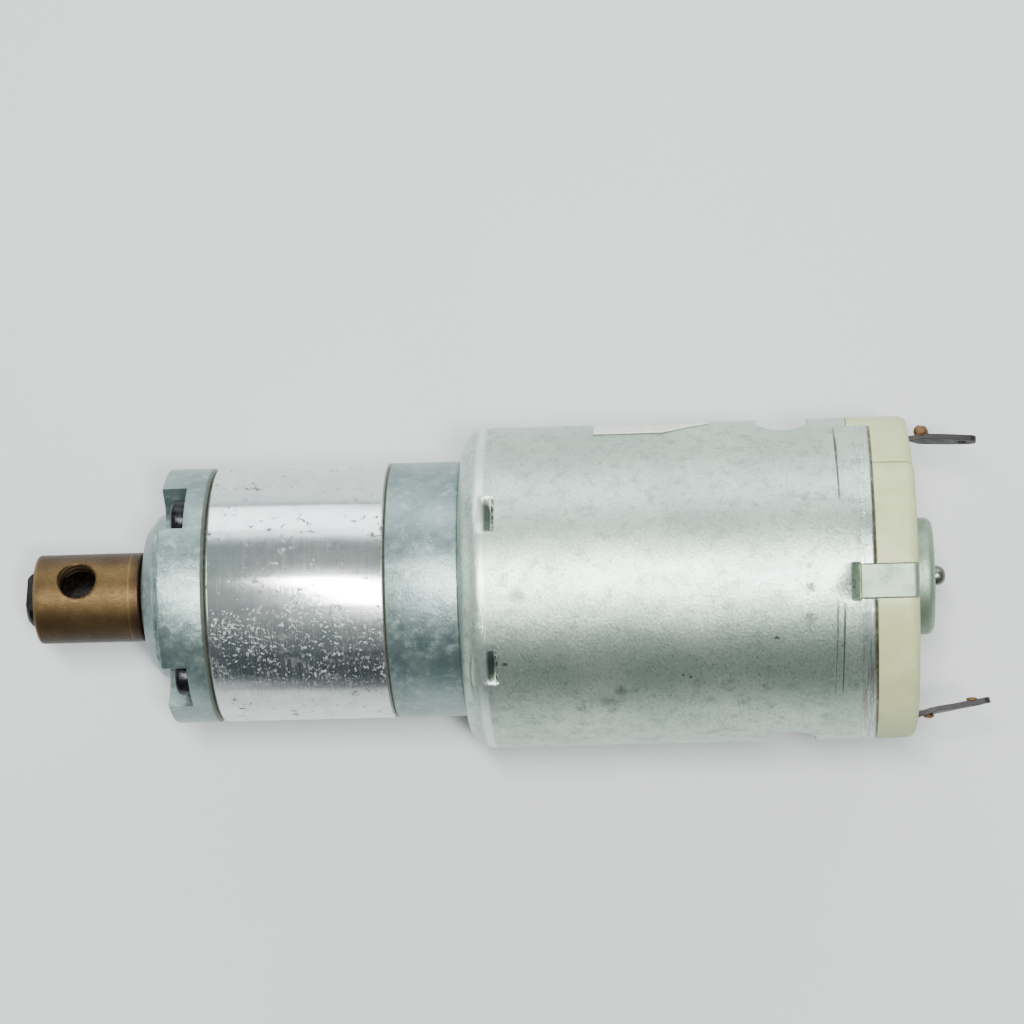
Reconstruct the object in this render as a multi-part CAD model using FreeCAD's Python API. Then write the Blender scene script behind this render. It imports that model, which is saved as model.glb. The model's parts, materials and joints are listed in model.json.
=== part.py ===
import FreeCAD, Part
import math
import os
from FreeCAD import Vector

# Brushed DC motor with a two-stage planetary gearbox and a bronze coupling. Millimetres.
# X runs along the shafts: the output end points to -X and the motor's rear to +X. +Z is up.
# The origin is on the output axis, in the plane of the gearbox's flat front face.
# A clock angle is measured about +X from straight up, so +90 points to -Y and -90 to +Y.

ORIGIN = Vector(0, 0, 0)
AXIS = Vector(1, 0, 0)

# Places along the axis
coupling_front = -15.4
coupling_length = 12.0
shaft_tip = -16.6
nose_front = -3.1
rim_front = 0.0
pocket_floor = 2.8
housing_back = 5.2
barrel_back = 24.9
can_front = 33.0
can_back = 77.9
cap_back = 82.4
rear_boss_back = 84.75
motor_shaft_back = 86.2

# Outer radii
barrel_r = 14.25
nose_r = 5.4
nose_base_r = 9.35
nose_shoulder_r = 7.5
nose_shoulder_x = -2.6
nose_foot_x = -1.2
can_r = 17.9
cap_r = 17.85
boss_r = 6.5
coupling_r = 5.0

# Fits
running_gap = 0.03
glue_gap = 0.02
slide_gap = 0.05
loose_gap = 0.2

# Edges, and how far a cutting solid reaches past the face it opens
edge_break = 0.15
edge_round = 0.3
past = 1.0

# Gears: both stages share one ring gear
module = 0.5
pressure_angle = math.radians(25)
sun_teeth = 12
planet_teeth = 12
ring_teeth = 36
planet_count = 3
flank_gap = 0.04
addendum = module
dedendum = 1.25 * module
orbit_r = module * (sun_teeth + planet_teeth) / 2
pin_r = 1.0
carrier_r = 8.2
spigot_r = 10.55
spigot_length = 1.4
planet_clock = 20.0

# Stage layout along the axis
output_carrier_front = 7.2
output_carrier_back = 9.7
stage_2_gear_front = 9.95
stage_2_gear_back = 15.9
stage_1_carrier_front = 16.3
stage_1_carrier_back = 18.1
stage_1_gear_front = 18.35
stage_1_gear_back = 22.6
adaptor_front = barrel_back - spigot_length
spigot_back = housing_back + spigot_length
washer_thickness = 0.5

# Output shaft and its bushes
output_r = 3.0
output_flat = 2.05
output_seat_r = 2.4
sun_seat_r = 2.1
output_bush_r = 4.3
coupling_hole_clock = -27.3
coupling_hole_x = coupling_front + 4.95
coupling_hole_r = 2.1

# Screws
screw_circle_r = 12.1
screw_r = 1.25
screw_clearance_r = 1.35
screw_head_r = 2.1
screw_head_height = 1.6
screw_clocks = (45, 135, 225, 315)
pocket_r = 3.1
mount_circle_r = 11.75
mount_hole_r = 1.05
mount_hole_depth = 4.0
screw_thread_length = 5.2
motor_screw_circle_r = 10.0
motor_screw_r = 1.5
motor_screw_head_r = 2.7
motor_screw_head_height = 1.8
motor_screw_seat = 27.5
motor_screw_end = 35.2

# Motor can
can_wall = 1.0
can_corner_r = 2.8
can_inner_r = can_r - can_wall
front_boss_front = 30.6
stop_clock = 27.7
stop_width = 4.4
stop_front = 35.5
stop_back = 37.1
stop_depth = 0.95
vent_x = 68.5
vent_length = 5.6
vent_arc = 45.0
ear_notch_front = 75.1
ear_notch_width = 3.8
key_notch_front = 75.4
key_notch_arc = 39.0

# Rotor
motor_shaft_r = 1.5875
motor_shaft_front = 18.6
rear_tip_r = 1.1
rear_step = 83.6
core_front = 40.3
core_back = 62.3
core_r = 11.7
core_hub_r = 4.6
pole_width = 5.4
shoe_inner_r = 10.1
shoe_half_arc = 53.0
insulator_thickness = 1.0
coil_overhang = 4.2
coil_half_width = 7.2
coil_inner = 5.0
coil_outer = 9.4
commutator_front = 69.0
commutator_back = 76.0
commutator_r = 4.75
commutator_hub_r = 3.4

segment_half_arc = 57.5
tang_reach = 6.3
tang_length = 1.0
tang_half_width = 0.8

# Magnets and bearings of the motor
magnet_front = 37.3
magnet_back = 65.3
magnet_inner_r = 12.3
magnet_half_arc = 57.0
motor_bush_r = 5.5
front_bush_front = 31.6
front_bush_back = 35.0
rear_bush_front = 80.0
rear_bush_back = 83.7

# End cap, end plate, terminals and brushes
cap_front = 74.3
cap_spigot_r = 16.85
cap_spigot_inner_r = 15.8
cap_chamber_r = 13.2
cap_corner_r = 1.2
cap_pocket_depth = 1.4
key_side_gap = 0.4
cap_step = 0.3
seam_width = 0.4
seam_clock = -45.1
plate_front = 81.4
plate_r = 13.9
ear_width = 3.66
ear_front = 76.3
ear_thickness = 1.0
ear_top = 17.8
terminal_y = 15.3
terminal_thickness = 0.6
terminal_width = 3.0
terminal_front = 71.8
terminal_bend = 82.7
brush_front = 70.9
brush_back = 74.5
brush_outer = 9.0
brush_width = 4.0
brush_gap = 0.05
arm_thickness = 0.25

# Paper label: its ends along the axis, its edges round the can, and its torn corner
label_front = 47.7
label_back = 60.4
label_far_clock = -128.0
label_near_clock = -68.0
label_thickness = 0.1
tear_front = 55.4
tear_back_clock = -78.0


def polar(radius, clock, x=0.0):
    """The point at a radius and a clock angle about the X axis."""
    angle = math.radians(clock)
    return Vector(x, -radius * math.sin(angle), radius * math.cos(angle))


def clocked(shape, clock):
    """A copy of a shape, turned about the X axis."""
    copy = shape.copy()
    copy.rotate(ORIGIN, AXIS, clock)
    return copy


def group(shapes):
    """Separate solids that share one node."""
    return Part.makeCompound(shapes)


def rod(front, back, radius):
    return Part.makeCylinder(radius, back - front, Vector(front, 0, 0), AXIS)


def tube(front, back, inner, outer):
    return rod(front, back, outer).cut(rod(front, back, inner))


def upright_rod(x, radius, low, high):
    """A cylinder that points up from the X axis, between two heights."""
    return Part.makeCylinder(radius, high - low, Vector(x, 0, low), Vector(0, 0, 1))


def block(front, back, left, right, low, high):
    """A box from (front, left, low) to (back, right, high) in X, Y and Z."""
    return Part.makeBox(back - front, right - left, high - low, Vector(front, left, low))


def rounded_wire(corners, place):
    """A closed wire through corners (a, b) or (a, b, radius); place(a, b) gives the point in space."""
    stretches = []
    for index, corner in enumerate(corners):
        here = Vector(corner[0], corner[1], 0)
        before = Vector(*corners[index - 1][:2], 0)
        after = Vector(*corners[(index + 1) % len(corners)][:2], 0)
        if len(corner) == 2:
            stretches.append((here, None, here))
            continue
        to_before = (before - here).normalize()
        to_after = (after - here).normalize()
        half = to_before.getAngle(to_after) / 2
        setback = corner[2] / math.tan(half)
        bulge = corner[2] / math.sin(half) - corner[2]
        inward = (to_before + to_after).normalize()
        stretches.append((here + to_before * setback, here + inward * bulge, here + to_after * setback))
    edges = []
    for index, (start, middle, end) in enumerate(stretches):
        if middle is not None:
            arc = Part.Arc(place(start.x, start.y), place(middle.x, middle.y), place(end.x, end.y))
            edges.append(arc.toShape())
        following = stretches[(index + 1) % len(stretches)][0]
        if (following - end).Length > 1e-6:
            edges.append(Part.makeLine(place(end.x, end.y), place(following.x, following.y)))
    return Part.Wire(edges)


def turned(corners, start=0.0, sweep=360.0):
    """A solid of revolution about X from (x, radius) corners, from one clock angle over a sweep."""
    wire = rounded_wire(corners, lambda x, radius: Vector(x, 0, radius))
    return clocked(Part.Face(wire).revolve(ORIGIN, AXIS, sweep), start)


def sector(front, back, inner, outer, start, end):
    """Part of a ring between two clock angles."""
    corners = [(front, inner), (back, inner), (back, outer), (front, outer)]
    return turned(corners, start, end - start)


def slab(corners, low, high):
    """A plate with a rounded outline in X and Y, between two heights."""
    wire = rounded_wire(corners, lambda x, y: Vector(x, y, low))
    return Part.Face(wire).extrude(Vector(0, 0, high - low))


def wedge(corners, width):
    """A prism of an (x, radius) outline, centred on the top of the X axis."""
    wire = rounded_wire(corners, lambda x, radius: Vector(x, -width / 2, radius))
    return Part.Face(wire).extrude(Vector(0, width, 0))


# ---------------------------------------------------------------- gears

def involute(angle):
    return math.tan(angle) - angle


def half_tooth(teeth, radius, extra):
    """Half a tooth's clock angle at a radius, with extra added to its thickness at the pitch circle."""
    pitch_r = module * teeth / 2
    base_r = pitch_r * math.cos(pressure_angle)
    at_pitch = math.pi / (2 * teeth) + extra / (2 * pitch_r)
    at_radius = math.acos(min(1.0, base_r / radius))
    return math.degrees(at_pitch + involute(pressure_angle) - involute(at_radius))


def flank_arc(first, middle, last, x):
    """An arc through three (radius, clock) points across the X axis."""
    return Part.Arc(polar(*first, x), polar(*middle, x), polar(*last, x)).toShape()


def flank_line(first, last, x):
    return Part.makeLine(polar(*first, x), polar(*last, x))


def gear_face(teeth, root_r, tip_r, extra, x):
    """The outline of an involute gear, with one tooth straight up, as a face across the X axis."""
    base_r = module * teeth / 2 * math.cos(pressure_angle)
    flank_r = max(root_r, base_r)
    middle_r = (flank_r + tip_r) / 2
    step = 360.0 / teeth
    at_flank = half_tooth(teeth, flank_r, extra)
    at_middle = half_tooth(teeth, middle_r, extra)
    at_tip = half_tooth(teeth, tip_r, extra)
    edges = []
    for tooth in range(teeth):
        up = tooth * step
        rise = [(flank_r, up - at_flank), (middle_r, up - at_middle), (tip_r, up - at_tip)]
        fall = [(tip_r, up + at_tip), (middle_r, up + at_middle), (flank_r, up + at_flank)]
        root = [(root_r, up + at_flank), (root_r, up + step / 2), (root_r, up + step - at_flank)]
        if flank_r > root_r:
            edges.append(flank_line((root_r, up - at_flank), rise[0], x))
        edges.append(flank_arc(*rise, x))
        edges.append(flank_arc(rise[2], (tip_r, up), fall[0], x))
        edges.append(flank_arc(*fall, x))
        if flank_r > root_r:
            edges.append(flank_line(fall[2], root[0], x))
        edges.append(flank_arc(*root, x))
    return Part.Face(Part.Wire(edges))


def gear(teeth, front, back):
    """A solid spur gear on the X axis, with one tooth straight up."""
    pitch_r = module * teeth / 2
    face = gear_face(teeth, pitch_r - dedendum, pitch_r + addendum, -flank_gap, front)
    return face.extrude(Vector(back - front, 0, 0))


def planet_clocks():
    return [planet_clock + index * 360.0 / planet_count for index in range(planet_count)]


def planet(front, back, clock):
    """A planet gear in mesh with the sun and the ring: it turns a gap to each of them."""
    body = gear(planet_teeth, front, back).cut(rod(front, back, pin_r + running_gap))
    gap_up = clocked(body, 180.0 / planet_teeth + clock)
    gap_up.translate(polar(orbit_r, clock))
    return gap_up


def pins(front, back):
    """The planet pins of one stage."""
    pin = turned([(front, 0), (back, 0), (back, pin_r - edge_break), (back - edge_break, pin_r),
                  (front, pin_r)])
    pin.translate(polar(orbit_r, 0))
    return group([clocked(pin, clock) for clock in planet_clocks()])


def carrier(front, back, bore):
    """A round carrier plate with holes for its pins, scalloped between them."""
    plate = turned([(front, bore), (back, bore), (back, carrier_r, edge_round),
                    (front, carrier_r, edge_round)])
    hole = rod(front, back, pin_r)
    hole.translate(polar(orbit_r, 0))
    scallop_r = 4.0
    scallop = rod(front, back, scallop_r)
    scallop.translate(polar(carrier_r + 0.6 * scallop_r, 60))
    for clock in planet_clocks():
        plate = plate.cut(clocked(hole, clock))
        plate = plate.cut(clocked(scallop, clock))
    return plate


# ---------------------------------------------------------------- gearbox, fixed pieces

def front_housing():
    joint_bevel = 0.35
    body = turned([
        (nose_front, output_bush_r),
        (nose_front, nose_r, edge_round),
        (nose_shoulder_x, nose_shoulder_r, 0.6),
        (nose_foot_x, nose_base_r - edge_break, 1.2),
        (rim_front, nose_base_r),
        (rim_front, barrel_r, 0.25),
        (housing_back - joint_bevel, barrel_r),
        (housing_back, barrel_r - joint_bevel),
        (housing_back, spigot_r),
        (spigot_back, spigot_r),
        (spigot_back, output_bush_r),
    ])
    pocket = rod(nose_front, pocket_floor, pocket_r)
    pocket.translate(polar(screw_circle_r, 0))
    mouth = block(nose_front, pocket_floor, -pocket_r, pocket_r, screw_circle_r, barrel_r + past)
    hole = rod(pocket_floor, housing_back, screw_clearance_r)
    hole.translate(polar(screw_circle_r, 0))
    for clock in screw_clocks:
        body = body.cut(clocked(pocket.fuse(mouth).fuse(hole), clock))
    mount_hole = rod(rim_front - past, mount_hole_depth, mount_hole_r)
    mount_hole.translate(polar(mount_circle_r, 0))
    for clock in (90, -90):
        body = body.cut(clocked(mount_hole, clock))
    return body


def output_bush(front, back):
    outer = output_bush_r - glue_gap
    inner = output_r + running_gap
    return turned([(front, inner), (back, inner), (back, outer, 0.2), (front, outer, 0.2)])


def ring_gear():
    joint_bevel = 0.45
    pitch_r = module * ring_teeth / 2
    blank_r = pitch_r - addendum - 0.5
    socket_front = adaptor_front - 2 * slide_gap
    socket_back = spigot_back + 2 * slide_gap
    body = turned([
        (housing_back, spigot_r + running_gap),
        (housing_back, barrel_r - joint_bevel),
        (housing_back + joint_bevel, barrel_r),
        (barrel_back - edge_break, barrel_r),
        (barrel_back, barrel_r - edge_break),
        (barrel_back, spigot_r + running_gap),
        (socket_front, spigot_r + running_gap),
        (socket_front, blank_r),
        (socket_back, blank_r),
        (socket_back, spigot_r + running_gap),
    ])
    bore = gear_face(ring_teeth, pitch_r - addendum, pitch_r + dedendum, flank_gap, housing_back)
    bore = bore.extrude(Vector(barrel_back - housing_back, 0, 0))
    # a ring tooth, not a gap, faces each planet
    body = body.cut(clocked(bore, 180.0 / ring_teeth + planet_clock))
    hole = rod(housing_back, barrel_back, screw_clearance_r)
    hole.translate(polar(screw_circle_r, 0))
    for clock in screw_clocks:
        body = body.cut(clocked(hole, clock))
    return body


def rear_adaptor():
    pinion_hole_r = 5.0
    boss_seat_front = front_boss_front - loose_gap
    body = turned([
        (adaptor_front, pinion_hole_r),
        (adaptor_front, spigot_r),
        (barrel_back, spigot_r),
        (barrel_back, barrel_r - edge_break),
        (barrel_back + edge_break, barrel_r),
        (can_front, barrel_r, edge_round),
        (can_front, boss_r + glue_gap),
        (boss_seat_front, boss_r + glue_gap),
        (boss_seat_front, pinion_hole_r),
    ])
    thread = rod(barrel_back, barrel_back + screw_thread_length, screw_r)
    thread.translate(polar(screw_circle_r, 0))
    for clock in screw_clocks:
        body = body.cut(clocked(thread, clock))
    seat = rod(adaptor_front, motor_screw_seat, motor_screw_head_r + loose_gap)
    seat = seat.fuse(rod(motor_screw_seat, can_front, motor_screw_r + 2 * slide_gap))
    seat.translate(polar(motor_screw_circle_r, 0))
    for clock in (0, 180):
        body = body.cut(clocked(seat, clock))
    return body


def cross_recess(front, depth):
    """A cross-shaped driver recess on the X axis, open to -X."""
    arm = block(front - 1, front + depth, -1.0, 1.0, -0.3, 0.3)
    return arm.fuse(clocked(arm, 90))


def screw(head_front, seat, end, head_r, shank_r):
    """A pan-head screw on the X axis, with its head towards -X."""
    body = turned([
        (head_front, 0),
        (head_front, head_r, 0.6),
        (seat, head_r),
        (seat, shank_r),
        (end - 0.4, shank_r),
        (end, shank_r - 0.4),
        (end, 0),
    ])
    return body.cut(cross_recess(head_front, 0.8))


def screws_on_circle(one, radius, clocks):
    one.translate(polar(radius, 0))
    return group([clocked(one, clock) for clock in clocks])


def gearbox_screws():
    head_front = pocket_floor - screw_head_height
    screw_end = barrel_back + screw_thread_length - loose_gap
    one = screw(head_front, pocket_floor, screw_end, screw_head_r, screw_r)
    return screws_on_circle(one, screw_circle_r, screw_clocks)


def motor_mount_screws():
    head_front = motor_screw_seat - motor_screw_head_height
    one = screw(head_front, motor_screw_seat, motor_screw_end, motor_screw_head_r, motor_screw_r)
    return screws_on_circle(one, motor_screw_circle_r, (0, 180))


# ---------------------------------------------------------------- gearbox, turning pieces

def output_shaft():
    body = turned([
        (shaft_tip, 0),
        (shaft_tip, output_r - 0.4),
        (shaft_tip + 0.4, output_r),
        (output_carrier_front, output_r),
        (output_carrier_front, output_seat_r),
        (output_carrier_back, output_seat_r),
        (output_carrier_back, 0),
    ])
    flat_back = nose_front - 1.2
    flat = block(shaft_tip - 1, flat_back, -output_r - 1, output_r + 1, output_flat, output_r + 1)
    return body.cut(clocked(flat, coupling_hole_clock))


def output_coupling():
    back = coupling_front + coupling_length
    # the round faces' seam is well away from the hole
    start_clock = coupling_hole_clock + 142.5
    body = turned([
        (coupling_front, output_r + 0.3),
        (coupling_front, coupling_r, 0.35),
        (back, coupling_r, 0.35),
        (back, output_r + 0.3),
        (back - 0.3, output_r),
        (coupling_front + 0.3, output_r),
    ], start_clock)
    hole = upright_rod(coupling_hole_x, coupling_hole_r, 0, coupling_r + 1)
    return body.cut(clocked(hole, coupling_hole_clock))


def stage_2_sun():
    teeth = clocked(gear(sun_teeth, stage_2_gear_front + 0.2, stage_1_carrier_front), planet_clock)
    seat = rod(stage_1_carrier_front, stage_1_carrier_back, sun_seat_r)
    return teeth.fuse(seat).removeSplitter()


def motor_pinion():
    back = barrel_back + 1.0
    teeth = clocked(gear(sun_teeth, stage_1_gear_front, back), planet_clock)
    return teeth.cut(rod(motor_shaft_front, back, motor_shaft_r))


# ---------------------------------------------------------------- motor, turning pieces

def motor_shaft():
    return turned([
        (motor_shaft_front, 0),
        (motor_shaft_front, motor_shaft_r),
        (rear_step, motor_shaft_r),
        (rear_step, rear_tip_r),
        (motor_shaft_back, rear_tip_r, 0.95),
        (motor_shaft_back, 0),
    ])


def lamination_stack(front, back, shrink):
    """Three poles with curved shoes on a hub, with every outline drawn in by shrink."""
    stack = rod(front, back, core_hub_r - shrink)
    half = pole_width / 2 - shrink
    for clock in (0, 120, 240):
        pole = block(front, back, -half, half, 0, shoe_inner_r + 0.4)
        shoe_half = shoe_half_arc - shrink
        shoe = sector(front, back, shoe_inner_r + shrink, core_r - shrink, -shoe_half, shoe_half)
        stack = stack.fuse(clocked(pole.fuse(shoe), clock))
    return stack.removeSplitter().cut(rod(front, back, motor_shaft_r))


def armature_coils():
    """One winding round each pole, with rounded end turns."""
    front = core_front - coil_overhang
    back = core_back + coil_overhang
    half = coil_half_width
    end_turn_r = 3.5
    window_half = pole_width / 2 + 0.25
    corners = [(front, -half), (back, -half), (back, half), (front, half)]
    outer = [(x, y, end_turn_r) for x, y in corners]
    window_front = core_front - insulator_thickness - 0.1
    window_back = core_back + insulator_thickness + 0.1
    window = block(window_front, window_back, -window_half, window_half, 0, core_r)
    winding = slab(outer, coil_inner, coil_outer).common(rod(front, back, shoe_inner_r - 0.3)).cut(window)
    return group([clocked(winding, clock) for clock in (0, 120, 240)])


def commutator_hub():
    collar_r = commutator_hub_r + 0.8
    return turned([
        (commutator_front - 1.2, motor_shaft_r),
        (commutator_front - 1.2, collar_r, 0.3),
        (commutator_front - 0.6, collar_r),
        (commutator_front - 0.6, commutator_hub_r),
        (commutator_back, commutator_hub_r),
        (commutator_back, motor_shaft_r),
    ])


def commutator_segments():
    """Three copper bars, each with a tang that its coil wire hooks to."""
    front = commutator_front - 0.6
    bar = sector(front, commutator_back, commutator_hub_r, commutator_r, -segment_half_arc, segment_half_arc)
    tang = block(front, front + tang_length, -tang_half_width, tang_half_width,
                 commutator_r - edge_round, tang_reach)
    segment = bar.fuse(tang)
    return group([clocked(segment, clock) for clock in (0, 120, 240)])


def rotor_spacers():
    front = tube(front_bush_back + 0.25, core_front - insulator_thickness, motor_shaft_r, 3.0)
    back = tube(commutator_back, rear_bush_front - 0.25, motor_shaft_r, 2.6)
    return group([front, back])


# ---------------------------------------------------------------- motor, fixed pieces

def motor_can():
    body = turned([
        (front_boss_front, 2.6),
        (front_boss_front, boss_r, 0.8),
        (can_front, boss_r),
        (can_front, can_r, can_corner_r),
        (can_back, can_r),
        (can_back, can_inner_r),
        (can_front + can_wall, can_inner_r, can_corner_r - 0.9),
        (can_front + can_wall, motor_bush_r),
        (front_bush_front, motor_bush_r),
        (front_bush_front, 2.6),
    ])
    # lanced stops: the wall is pressed in to a cut edge, and bears on the magnets' front ends
    pressed = wedge([(stop_front, can_inner_r), (stop_back, can_inner_r),
                     (stop_back, can_inner_r - stop_depth)], stop_width)
    sunk = wedge([(stop_front, can_r + 0.5), (stop_front, can_r), (stop_back, can_r - stop_depth),
                  (stop_back, can_r + 0.5)], stop_width)
    slit = block(stop_back - 0.01, stop_back + 0.15, -stop_width / 2, stop_width / 2,
                 can_inner_r - stop_depth, can_r + 0.5)
    for clock in (stop_clock, -stop_clock, 180 - stop_clock, 180 + stop_clock):
        body = body.fuse(clocked(pressed, clock))
        body = body.cut(clocked(sunk, clock)).cut(clocked(slit, clock))
    # cooling vents: slots with round ends, one on each side
    end_r = vent_length / 2
    end_clock = vent_arc / 2 - math.degrees(end_r / can_r)
    vent = sector(vent_x - end_r, vent_x + end_r, can_inner_r - 2, can_r + 1, -end_clock, end_clock)
    end = upright_rod(vent_x, end_r, can_inner_r - 2, can_r + 1)
    vent = vent.fuse(clocked(end, end_clock)).fuse(clocked(end, -end_clock))
    for clock in (90, -90):
        body = body.cut(clocked(vent, clock))
    # notches in the rear rim for the end plate's ears, each with a short ramp at its front
    ramp_back = ear_notch_front + 1.0
    notch = wedge([(ear_notch_front, can_r + 1), (ear_notch_front, can_r), (ramp_back, can_inner_r),
                   (ramp_back, can_inner_r - 1), (can_back + 1, can_inner_r - 1),
                   (can_back + 1, can_r + 1)], ear_notch_width)
    for clock in (0, 180):
        body = body.cut(clocked(notch, clock))
    # notch for the end cap's key, and the threaded holes for the gearbox's adaptor
    key_half = key_notch_arc / 2
    key = sector(key_notch_front, can_back + 1, can_inner_r - 1, can_r + 1, -key_half, key_half)
    body = body.cut(clocked(key, -90))
    hole = rod(can_front - 1, can_front + can_wall + 1, motor_screw_r)
    hole.translate(polar(motor_screw_circle_r, 0))
    for clock in (0, 180):
        body = body.cut(clocked(hole, clock))
    return body.removeSplitter()


def magnet(clock):
    outer = can_inner_r - glue_gap
    start = clock - magnet_half_arc
    return sector(magnet_front, magnet_back, magnet_inner_r, outer, start, start + 2 * magnet_half_arc)


def magnet_clips():
    """Spring strips, bent to a U, that push the two magnets apart."""
    front = magnet_front + 5
    back = magnet_back - 5
    outer = can_inner_r - glue_gap
    reach = 90 - magnet_half_arc - 0.3
    clip = sector(front, back, outer - 0.5, outer, -reach, reach)
    clip = clip.fuse(sector(front, back, outer - 3.4, outer, reach - 1.8, reach))
    clip = clip.fuse(sector(front, back, outer - 3.4, outer, -reach, -reach + 1.8)).removeSplitter()
    return group([clip, clocked(clip, 180)])


def motor_bush(front, back):
    outer = motor_bush_r - glue_gap
    inner = motor_shaft_r + running_gap
    return turned([(front, inner), (back, inner), (back, outer, 0.5), (front, outer, 0.5)])


def ear_slot(half_width, front):
    """The groove in the end cap that an ear of the end plate lies in."""
    floor = ear_top - ear_thickness - glue_gap
    along = block(front, cap_back + past, -half_width, half_width, floor, cap_r + past)
    across = block(plate_front - glue_gap, cap_back + past, -half_width, half_width, 0, cap_r + past)
    return along.fuse(across)


def end_cap():
    bush_hole_r = motor_bush_r + 0.3
    spigot_floor = can_back - 0.4
    body = turned([
        (cap_front, cap_spigot_inner_r),
        (cap_front, cap_spigot_r),
        (can_back + glue_gap, cap_spigot_r),
        (can_back + glue_gap, cap_r, edge_break),
        (cap_back, cap_r, cap_corner_r),
        (cap_back, plate_r + slide_gap),
        (plate_front, plate_r + slide_gap),
        (plate_front, bush_hole_r),
        (plate_front - cap_pocket_depth, bush_hole_r),
        (plate_front - cap_pocket_depth, cap_chamber_r),
        (spigot_floor, cap_chamber_r),
        (spigot_floor, cap_spigot_inner_r),
    ])
    # the key that fills the notch in the can's rim
    key_half = key_notch_arc / 2 - key_side_gap
    key_front = key_notch_front + 2 * slide_gap
    key = sector(key_front, can_back + 0.5, cap_spigot_r - 0.5, cap_r, -90 - key_half, -90 + key_half)
    body = body.fuse(key)
    # the quarter round the key stands a little forward of the rest at the back
    step = sector(cap_back - cap_step, cap_back + past, plate_r + 1.4, cap_r + past, -135, -45)
    seam = sector(can_back, cap_back + past, cap_r - edge_break, cap_r + past,
                  seam_clock - seam_width / 2, seam_clock + seam_width / 2)
    body = body.cut(step).cut(seam)
    for clock in (0, 180):
        body = body.cut(clocked(ear_slot(ear_width / 2 + slide_gap, ear_front - 1.6), clock))
    slot_half = terminal_thickness / 2 + 0.01
    slot = block(cap_front, cap_back + 1, -terminal_y - slot_half, -terminal_y + slot_half,
                 -terminal_width / 2 - 0.01, terminal_width / 2 + 0.01)
    for clock in (0, 180):
        body = body.cut(clocked(slot, clock))
    return body.removeSplitter()


def end_plate():
    """A steel disc with a drawn boss for the bush and two ears folded forward over the cap."""
    boss_wall = 1.0
    body = turned([
        (plate_front, motor_bush_r),
        (plate_front, plate_r),
        (cap_back, plate_r, 0.2),
        (cap_back, boss_r, 0.3),
        (rear_boss_back, boss_r, 0.6),
        (rear_boss_back, 1.6),
        (rear_boss_back - boss_wall, 1.6),
        (rear_boss_back - boss_wall, motor_bush_r),
    ])
    ear = wedge([(plate_front, plate_r - 2), (plate_front, ear_top - ear_thickness),
                 (ear_front, ear_top - ear_thickness), (ear_front, ear_top),
                 (cap_back, ear_top, 0.5), (cap_back, plate_r - 2)], ear_width)
    for clock in (0, 180):
        body = body.fuse(clocked(ear, clock))
    return body.removeSplitter()


def brush(side):
    """A carbon block on one side of the commutator; side is the clock angle it stands at."""
    body = block(brush_front, brush_back, -brush_width / 2, brush_width / 2, 0, brush_outer)
    body = body.cut(rod(brush_front, brush_back, commutator_r + brush_gap))
    return clocked(body, side)


def brush_arm(side):
    """The leaf spring that carries a brush, folded from its terminal round to the brush's back."""
    front = brush_front + 0.6
    back = brush_back - 0.6
    inner_face = terminal_y - terminal_thickness / 2
    path = [
        (1.4, inner_face - arm_thickness / 2),
        (-2.0, inner_face - arm_thickness / 2),
        (-6.6, 11.2),
        (-3.0, brush_outer + arm_thickness / 2),
        (1.8, brush_outer + arm_thickness / 2),
    ]
    strip = None
    for (y0, z0), (y1, z1) in zip(path, path[1:]):
        run = Vector(0, y1 - y0, z1 - z0)
        leaf = Part.makeBox(back - front, run.Length, arm_thickness, Vector(front, 0, -arm_thickness / 2))
        leaf.rotate(ORIGIN, AXIS, math.degrees(math.atan2(run.z, run.y)))
        leaf.translate(Vector(0, y0, z0))
        elbow = rod(front, back, arm_thickness / 2)
        elbow.translate(Vector(0, y0, z0))
        piece = leaf.fuse(elbow)
        strip = piece if strip is None else strip.fuse(piece)
    return clocked(strip.removeSplitter(), side)


def blade_turn(side, inward, lean):
    """How the outer half of a terminal is bent; it is drawn on the +Y side, or turned over to -Y."""
    def bend(shape):
        pivot = Vector(terminal_bend, side * terminal_y, 0)
        bent = shape.copy()
        bent.translate(Vector(0, side * terminal_y, 0))
        bent.rotate(pivot, AXIS, lean)
        bent.rotate(pivot, Vector(0, 0, 1), -side * inward)
        return bent
    return bend


def terminal(side, bend, tip):
    """A solder tag: a straight foot through the cap and a bent blade with an eye near its tip."""
    half = terminal_thickness / 2
    wide = terminal_width / 2
    foot = block(terminal_front, terminal_bend + 0.3, -half, half, -wide, wide)
    foot.translate(Vector(0, side * terminal_y, 0))
    root = terminal_bend - 0.15
    corners = [(root, -wide), (tip, -wide + 0.5, 0.8), (tip, wide - 0.5, 0.8), (root, wide)]
    outline = rounded_wire(corners, lambda x, z: Vector(x, -half, z))
    blade = Part.Face(outline).extrude(Vector(0, terminal_thickness, 0))
    eye = Part.makeCylinder(0.6, 2, Vector(tip - 1.5, -1, 0), Vector(0, 1, 0))
    return foot.fuse(bend(blade.cut(eye))).removeSplitter()


def solder_blob(bend, x, face, z, radius):
    """A cap of solder on a blade's face; face is +1 for the side towards +Y and -1 for the other."""
    surface = face * terminal_thickness / 2
    ball = Part.makeSphere(radius, Vector(x, surface + face * radius * 0.4, z))
    keep = Part.makeBox(6, 6, 6, Vector(x - 3, min(surface, surface + face * 6), z - 3))
    return bend(ball.common(keep))


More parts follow.
